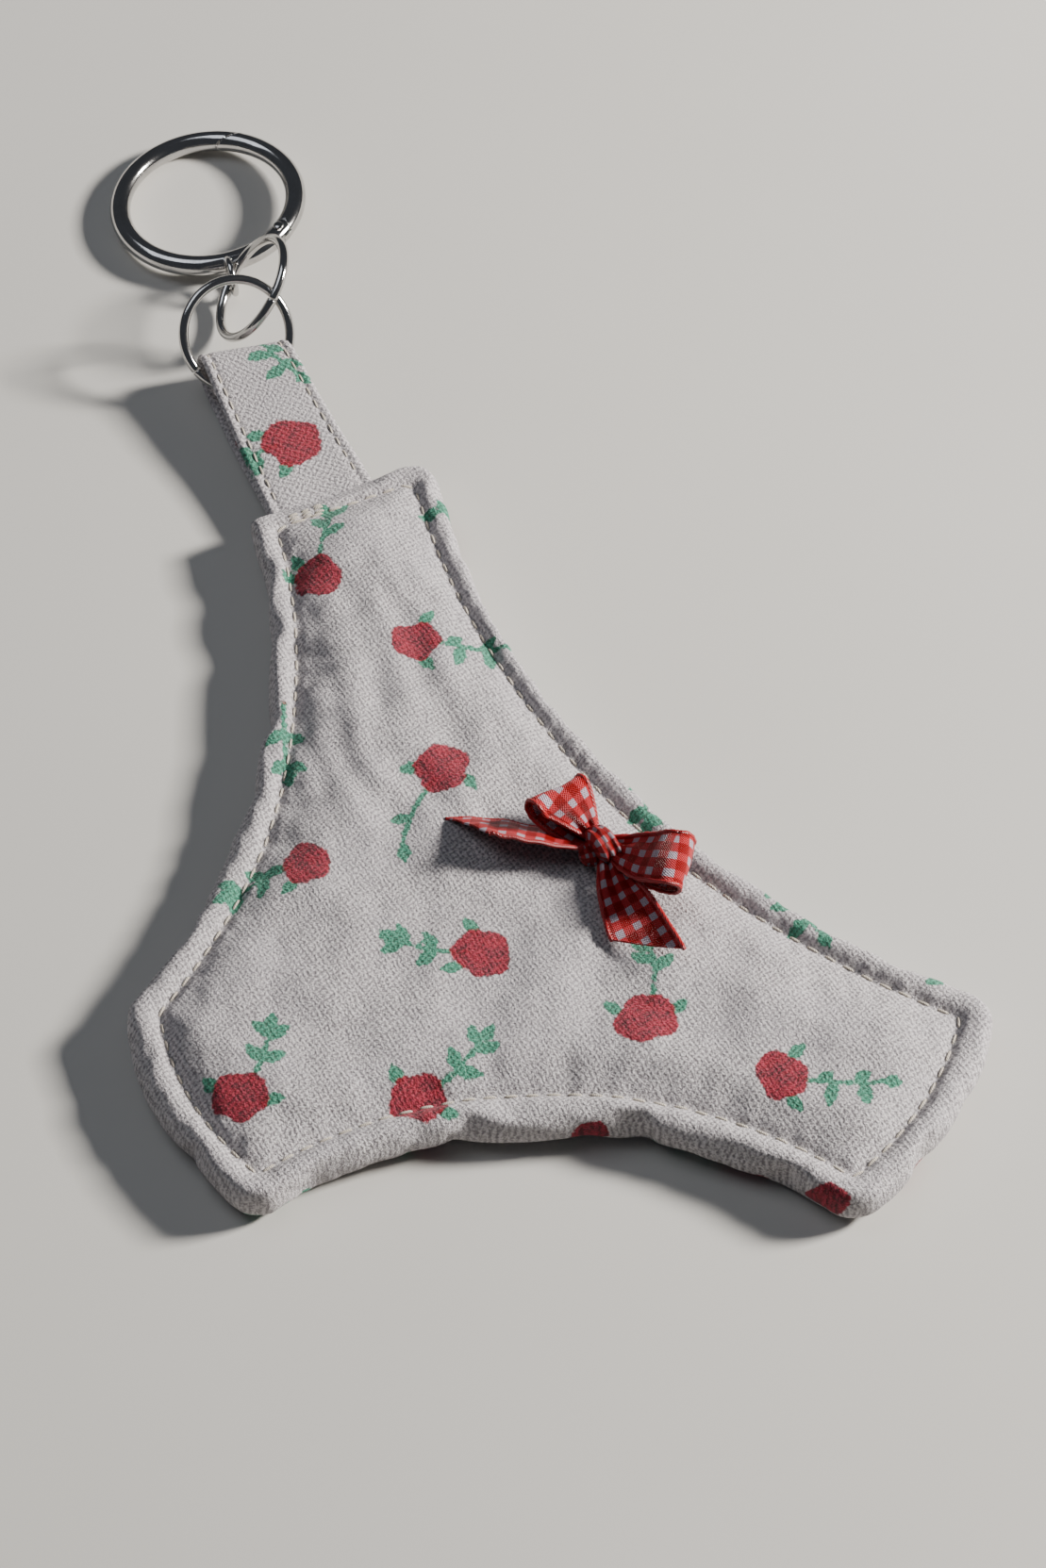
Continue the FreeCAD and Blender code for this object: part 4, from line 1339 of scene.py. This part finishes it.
# ------------------------------------------------------------------ bow
@dataclass
class RibbonRun:
    """Length of gingham ribbon through stations of centre, across direction and width.

    Each station is (across, along, up, side x, side y, side z, width), in millimetres.
    """

    name: str
    node: str
    stations: tuple
    cut: float = 0.0
    cup: float = 0.0
    thick: float = 0.26
    cord: float = 0.25
    rows: int = 72
    columns: int = 13
    start: float = 0.0

    def build(self) -> None:
        """Model the woven web, give it thickness and lay a selvedge cord along each edge."""
        run = smooth_run(np.array(self.stations, float), self.rows)
        centre, side, width = run[:, :3], run[:, 3:6], run[:, 6]
        side /= np.linalg.norm(side, axis=1, keepdims=True)
        ahead = np.gradient(centre, axis=0)
        ahead /= np.linalg.norm(ahead, axis=1, keepdims=True)
        side -= ahead * (side * ahead).sum(1, keepdims=True)
        side /= np.linalg.norm(side, axis=1, keepdims=True)
        up = np.cross(ahead, side)
        step = np.r_[0, np.cumsum(np.linalg.norm(np.diff(centre, axis=0), axis=1))]
        shares = np.linspace(-1, 1, self.columns)
        gather = np.clip(1 - width / 6.0, 0, 1)
        points, place = [], []
        for number in range(self.rows):
            pleat = gather[number] * 0.55 * np.sin(shares * math.pi * 2.5)
            bend = self.cup * (shares**2 - 0.35) * (width[number] / 6)
            wave = 0.07 * math.sin(step[number] * 1.9 + 1.0)
            slant = self.cut * (shares / 2) * np.clip(step[number] / step[-1], 0, 1) ** 3
            points.append(
                centre[number]
                + np.outer(shares * width[number] / 2, side[number])
                + np.outer(pleat + bend + wave, up[number])
                + np.outer(slant, ahead[number])
            )
            place.append(np.column_stack([self.start + step[number] + slant, shares * 3.0]))
        points = np.vstack(points)
        place = np.vstack(place)
        n = self.columns
        faces = [
            [r * n + k, r * n + k + 1, (r + 1) * n + k + 1, (r + 1) * n + k]
            for r in range(self.rows - 1)
            for k in range(n - 1)
        ]
        piece = mesh_piece(self.name, points, faces)
        layer = piece.data.uv_layers.new(name="cloth")
        corners = np.empty(len(piece.data.loops), int)
        piece.data.loops.foreach_get("vertex_index", corners)
        layer.data.foreach_set("uv", place[corners].ravel())
        apply_modifier(piece, "SOLIDIFY", thickness=self.thick * MM, offset=0.0)
        apply_modifier(piece, "SUBSURF", levels=1, render_levels=1)
        piece.data.materials.append(material(Finish.GINGHAM))
        hand_over(piece, "pad", (self.node,))
        grid = points.reshape(self.rows, n, 3)
        for number, column in enumerate((0, n - 1)):
            self.edge_cord("%s_selvedge_%d" % (self.name, number), grid[:, column])

    def edge_cord(self, name: str, line: np.ndarray) -> None:
        """Lay a round cord along one edge of the ribbon.

        Args:
            name: Name of the cord.
            line: N by 3 array, the edge.
        """
        ahead = np.gradient(line, axis=0)
        ahead /= np.linalg.norm(ahead, axis=1, keepdims=True)
        first = np.cross(ahead, np.tile([0.31, 0.22, 0.92], (len(line), 1)))
        first /= np.linalg.norm(first, axis=1, keepdims=True)
        second = np.cross(ahead, first)
        count = 8
        turn = np.linspace(0, TAU, count, endpoint=False)
        length = np.r_[0, np.cumsum(np.linalg.norm(np.diff(line, axis=0), axis=1))]
        radius = self.cord * (1 + 0.12 * np.sin(length * TAU / 0.42))
        ring = first[:, None] * np.cos(turn)[None, :, None] + second[:, None] * np.sin(turn)[None, :, None]
        points = (line[:, None] + ring * radius[:, None, None]).reshape(-1, 3)
        faces = [
            [r * count + k, r * count + (k + 1) % count, (r + 1) * count + (k + 1) % count, (r + 1) * count + k]
            for r in range(len(line) - 1)
            for k in range(count)
        ]
        faces += [list(range(count))[::-1], list(range((len(line) - 1) * count, len(line) * count))]
        piece = mesh_piece(name, points, faces)
        pick(piece)
        bpy.ops.object.mode_set(mode="EDIT")
        bpy.ops.mesh.select_all(action="SELECT")
        bpy.ops.mesh.normals_make_consistent(inside=False)
        bpy.ops.object.mode_set(mode="OBJECT")
        hand_over(piece, "pad", (), Finish.SELVEDGE)


LEFT_LOOP = RibbonRun(
    "bow_loop_left", "bow_left_loop",
    (
        (7.2, -12.6, 8.7, 0.79, 0.61, 0.0, 1.9), (6.2, -11.5, 9.7, 0.80, 0.60, 0.0, 3.6),
        (5.2, -10.5, 10.7, 0.84, 0.52, 0.08, 5.0), (4.4, -9.8, 11.3, 0.90, 0.40, 0.05, 5.8),
        (3.6, -9.2, 11.3, 0.92, 0.34, 0.00, 6.0), (3.1, -8.9, 10.5, 0.93, 0.32, 0.00, 6.0),
        (3.4, -9.4, 9.4, 0.92, 0.34, -0.05, 6.0), (4.8, -11.0, 8.3, 0.86, 0.48, -0.05, 4.8),
        (6.9, -12.9, 7.5, 0.79, 0.61, 0.0, 2.0),
    ), cup=0.55, start=0.3,
)
RIGHT_LOOP = RibbonRun(
    "bow_loop_right", "bow_right_loop",
    (
        (8.9, -14.1, 8.4, 0.24, 0.94, 0.05, 1.9), (10.4, -15.2, 9.2, 0.22, 0.96, 0.06, 3.6),
        (12.3, -16.7, 10.6, 0.22, 0.96, 0.06, 5.2), (14.0, -17.8, 12.0, 0.22, 0.96, 0.08, 5.9),
        (15.3, -18.4, 12.7, 0.24, 0.96, 0.08, 6.0), (16.5, -18.5, 12.2, 0.26, 0.96, 0.06, 6.0),
        (17.0, -18.3, 10.9, 0.26, 0.96, 0.04, 6.0), (16.6, -17.9, 9.6, 0.26, 0.96, 0.02, 6.0),
        (15.0, -17.2, 8.5, 0.24, 0.96, 0.0, 5.6), (12.4, -16.0, 7.8, 0.22, 0.96, 0.0, 4.4),
        (9.2, -14.4, 7.4, 0.22, 0.95, 0.0, 2.0),
    ), cup=-0.3, start=1.1,
)
LEFT_TAIL = RibbonRun(
    "bow_tail_left", "bow_left_tail",
    (
        (7.0, -13.8, 7.6, 0.0, 0.80, -0.55, 1.9), (5.2, -13.6, 8.0, 0.0, 0.83, -0.55, 3.2),
        (2.6, -12.9, 8.4, 0.0, 0.83, -0.56, 4.6), (-0.8, -12.2, 8.7, 0.0, 0.80, -0.60, 5.4),
        (-3.6, -11.8, 8.8, 0.0, 0.79, -0.61, 5.4), (-5.8, -11.6, 8.7, 0.0, 0.78, -0.62, 5.2),
    ), cut=5.2, cup=0.25, start=0.7,
)
RIGHT_TAIL = RibbonRun(
    "bow_tail_right", "bow_right_tail",
    (
        (8.8, -14.7, 7.9, 0.9, 0.35, 0.20, 1.9), (9.1, -16.6, 8.2, 0.92, 0.25, 0.25, 2.8),
        (9.8, -19.3, 8.3, 0.92, 0.22, 0.30, 4.2), (10.9, -22.0, 8.3, 0.88, 0.36, 0.32, 5.3),
        (12.0, -24.6, 8.2, 0.86, 0.38, 0.32, 5.9), (12.8, -26.4, 8.2, 0.86, 0.38, 0.32, 6.0),
    ), cut=5.2, cup=0.35, start=0.2,
)


@dataclass
class BowKnot:
    """The bow's knot: two gathered wraps of ribbon and the tack that sews it down."""

    centre: tuple = (8.0, -13.7, 8.2)

    def lump(self, name: str, shift: tuple, radii: tuple, turn: float, ridges: float, seed: int) -> bpy.types.Object:
        """Model one gathered wrap from a ball shaped by its folds.

        Args:
            name: Name of the piece.
            shift: Offset of its centre from the knot's.
            radii: Half sizes along, across and up.
            turn: Heading of its length in degrees.
            ridges: Number of folds across it.
            seed: Number that picks its unevenness.

        Returns:
            The piece.
        """
        deselect()
        bpy.ops.mesh.primitive_uv_sphere_add(segments=64, ring_count=40, radius=MM)
        piece = bpy.context.active_object
        piece.name = name
        points = points_of(piece)
        angle = np.arctan2(points[:, 2], points[:, 1])
        across = points[:, 0].copy()
        fold = 0.10 * np.cos(across * ridges * math.pi + 0.8 * np.sin(angle * 2 + seed))
        waist = 1 - 0.10 * np.exp(-((across / 0.25) ** 2))
        swell = (1 + fold * (1 - across**2)) * waist * (1 + 0.05 * ripple(points * 3, 4, seed))
        shaped = points * np.column_stack([np.ones(len(points)), swell, swell]) * radii
        course = math.radians(turn)
        spun = np.array([[math.cos(course), math.sin(course), 0], [-math.sin(course), math.cos(course), 0], [0, 0, 1]])
        set_points(piece, shaped @ spun + np.array(self.centre) + np.array(shift))
        while piece.data.uv_layers:
            piece.data.uv_layers.remove(piece.data.uv_layers[0])
        layer = piece.data.uv_layers.new(name="cloth")
        corners = np.empty(len(piece.data.loops), int)
        piece.data.loops.foreach_get("vertex_index", corners)
        wrap = np.column_stack([angle * 2.2, across * 3.4 + 0.4])
        layer.data.foreach_set("uv", wrap[corners].ravel())
        piece.data.polygons.foreach_set("use_smooth", [True] * len(piece.data.polygons))
        piece.data.materials.clear()
        piece.data.materials.append(material(Finish.GINGHAM))
        return piece

    def build(self, charm: Charm) -> None:
        """Make the wraps and the tack.

        Args:
            charm: The padded body that the tack goes down to.
        """
        main = self.lump("bow_knot_wrap", (0.25, -0.35, 0.55), (1.45, 2.35, 1.75), 36, 3.2, 3)
        hand_over(main, "pad", ("bow_knot",))
        under = self.lump("bow_knot_under", (-1.1, -1.0, -0.35), (1.2, 1.5, 1.3), 200, 2.4, 8)
        hand_over(under, "pad")
        low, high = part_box("bow_tack_thread")
        spot = np.array([(low.x + high.x) / 2, (low.y + high.y) / 2]) / MM
        base = charm.height(spot[0], spot[1])
        for number, (dx, dy) in enumerate(((-1.6, -1.2), (-0.9, -1.8), (0.2, -1.4))):
            foot = np.array([spot[0] + dx, spot[1] + dy, base + 0.05])
            head = np.array([spot[0] + dx * 0.6, spot[1] + dy * 0.6, base + 1.9])
            line = np.array([foot + (head - foot) * s for s in np.linspace(0, 1, 7)])
            normals = np.tile([dx, dy, 0.4], (7, 1))
            piece = StitchRun("bow_tack_%d" % number, 0.3, 2.4, 0.0).build(line, normals, False)
            hand_over(piece, "pad", ("bow_tack_thread",) if number == 0 else (), Finish.TACK)


# ------------------------------------------------------------------ stage
@dataclass(frozen=True)
class Studio:
    """Plain floor, soft light from the right and the camera."""

    elevation: float = 53.8
    distance: float = 466.6
    lens: float = 100.0
    floor_half: float = 1.5

    def build(self) -> None:
        """Set the stage."""
        deselect()
        bpy.ops.mesh.primitive_plane_add(size=2 * self.floor_half, location=(0, 0, 0))
        floor = bpy.context.active_object
        floor.name = "floor"
        floor.data.materials.append(material(Finish.FLOOR))
        self.lamp("key", (0.64, 0.14, 0.37), 0.13, 17.0, (1.0, 0.96, 0.91))
        self.lamp("fill", (-0.35, 0.15, 0.75), 0.5, 1.3, (0.86, 0.91, 1.0))
        world = bpy.data.worlds.new("studio")
        world.use_nodes = True
        world.node_tree.nodes["Background"].inputs["Color"].default_value = (0.70, 0.76, 0.88, 1)
        world.node_tree.nodes["Background"].inputs["Strength"].default_value = 0.07
        bpy.context.scene.world = world
        view = bpy.data.cameras.new("camera")
        view.lens = self.lens
        view.sensor_width = 36
        view.clip_start = 0.01
        camera = bpy.data.objects.new("camera", view)
        bpy.context.scene.collection.objects.link(camera)
        rise = math.radians(self.elevation)
        camera.location = Vector((0, -math.cos(rise), math.sin(rise))) * self.distance * MM
        camera.rotation_euler = (math.pi / 2 - rise, 0, 0)
        bpy.context.scene.camera = camera

    @staticmethod
    def lamp(name: str, place: tuple, size: float, power: float, tint: tuple) -> None:
        """Hang a square area light that faces the charm.

        Args:
            name: Name of the light.
            place: Its place in metres.
            size: Side of the square in metres.
            power: Watts.
            tint: Its colour.
        """
        light = bpy.data.lights.new(name, "AREA")
        light.size, light.energy, light.color = size, power, tint
        lamp = bpy.data.objects.new(name, light)
        bpy.context.scene.collection.objects.link(lamp)
        lamp.location = place
        lamp.rotation_euler = (-Vector(place)).to_track_quat("-Z", "Y").to_euler()


def note_size() -> None:
    """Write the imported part's box and the dressed model's box."""
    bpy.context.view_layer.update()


def main() -> None:
    """Build every part of the charm and its stage, in order."""
    logging.basicConfig(level=logging.INFO, format="%(name)s: %(message)s")
    Studio().build()
    charm = Charm()
    charm.build()
    sew_edge(charm)
    strap = Strap()
    strap.build()
    strap.back_tack(charm)
    WireRing("strap_ring_wire", "strap_ring", "strap_ring", 6.25, joint_at=200).build()
    WireRing("jump_ring_wire", "jump_ring", "jump_ring", 6.2, joint_at=40).build()
    GateRing().build()
    for ribbon in (LEFT_LOOP, RIGHT_LOOP, LEFT_TAIL, RIGHT_TAIL):
        ribbon.build()
    BowKnot().build(charm)
    note_size()


if __name__ == "__main__":
    main()
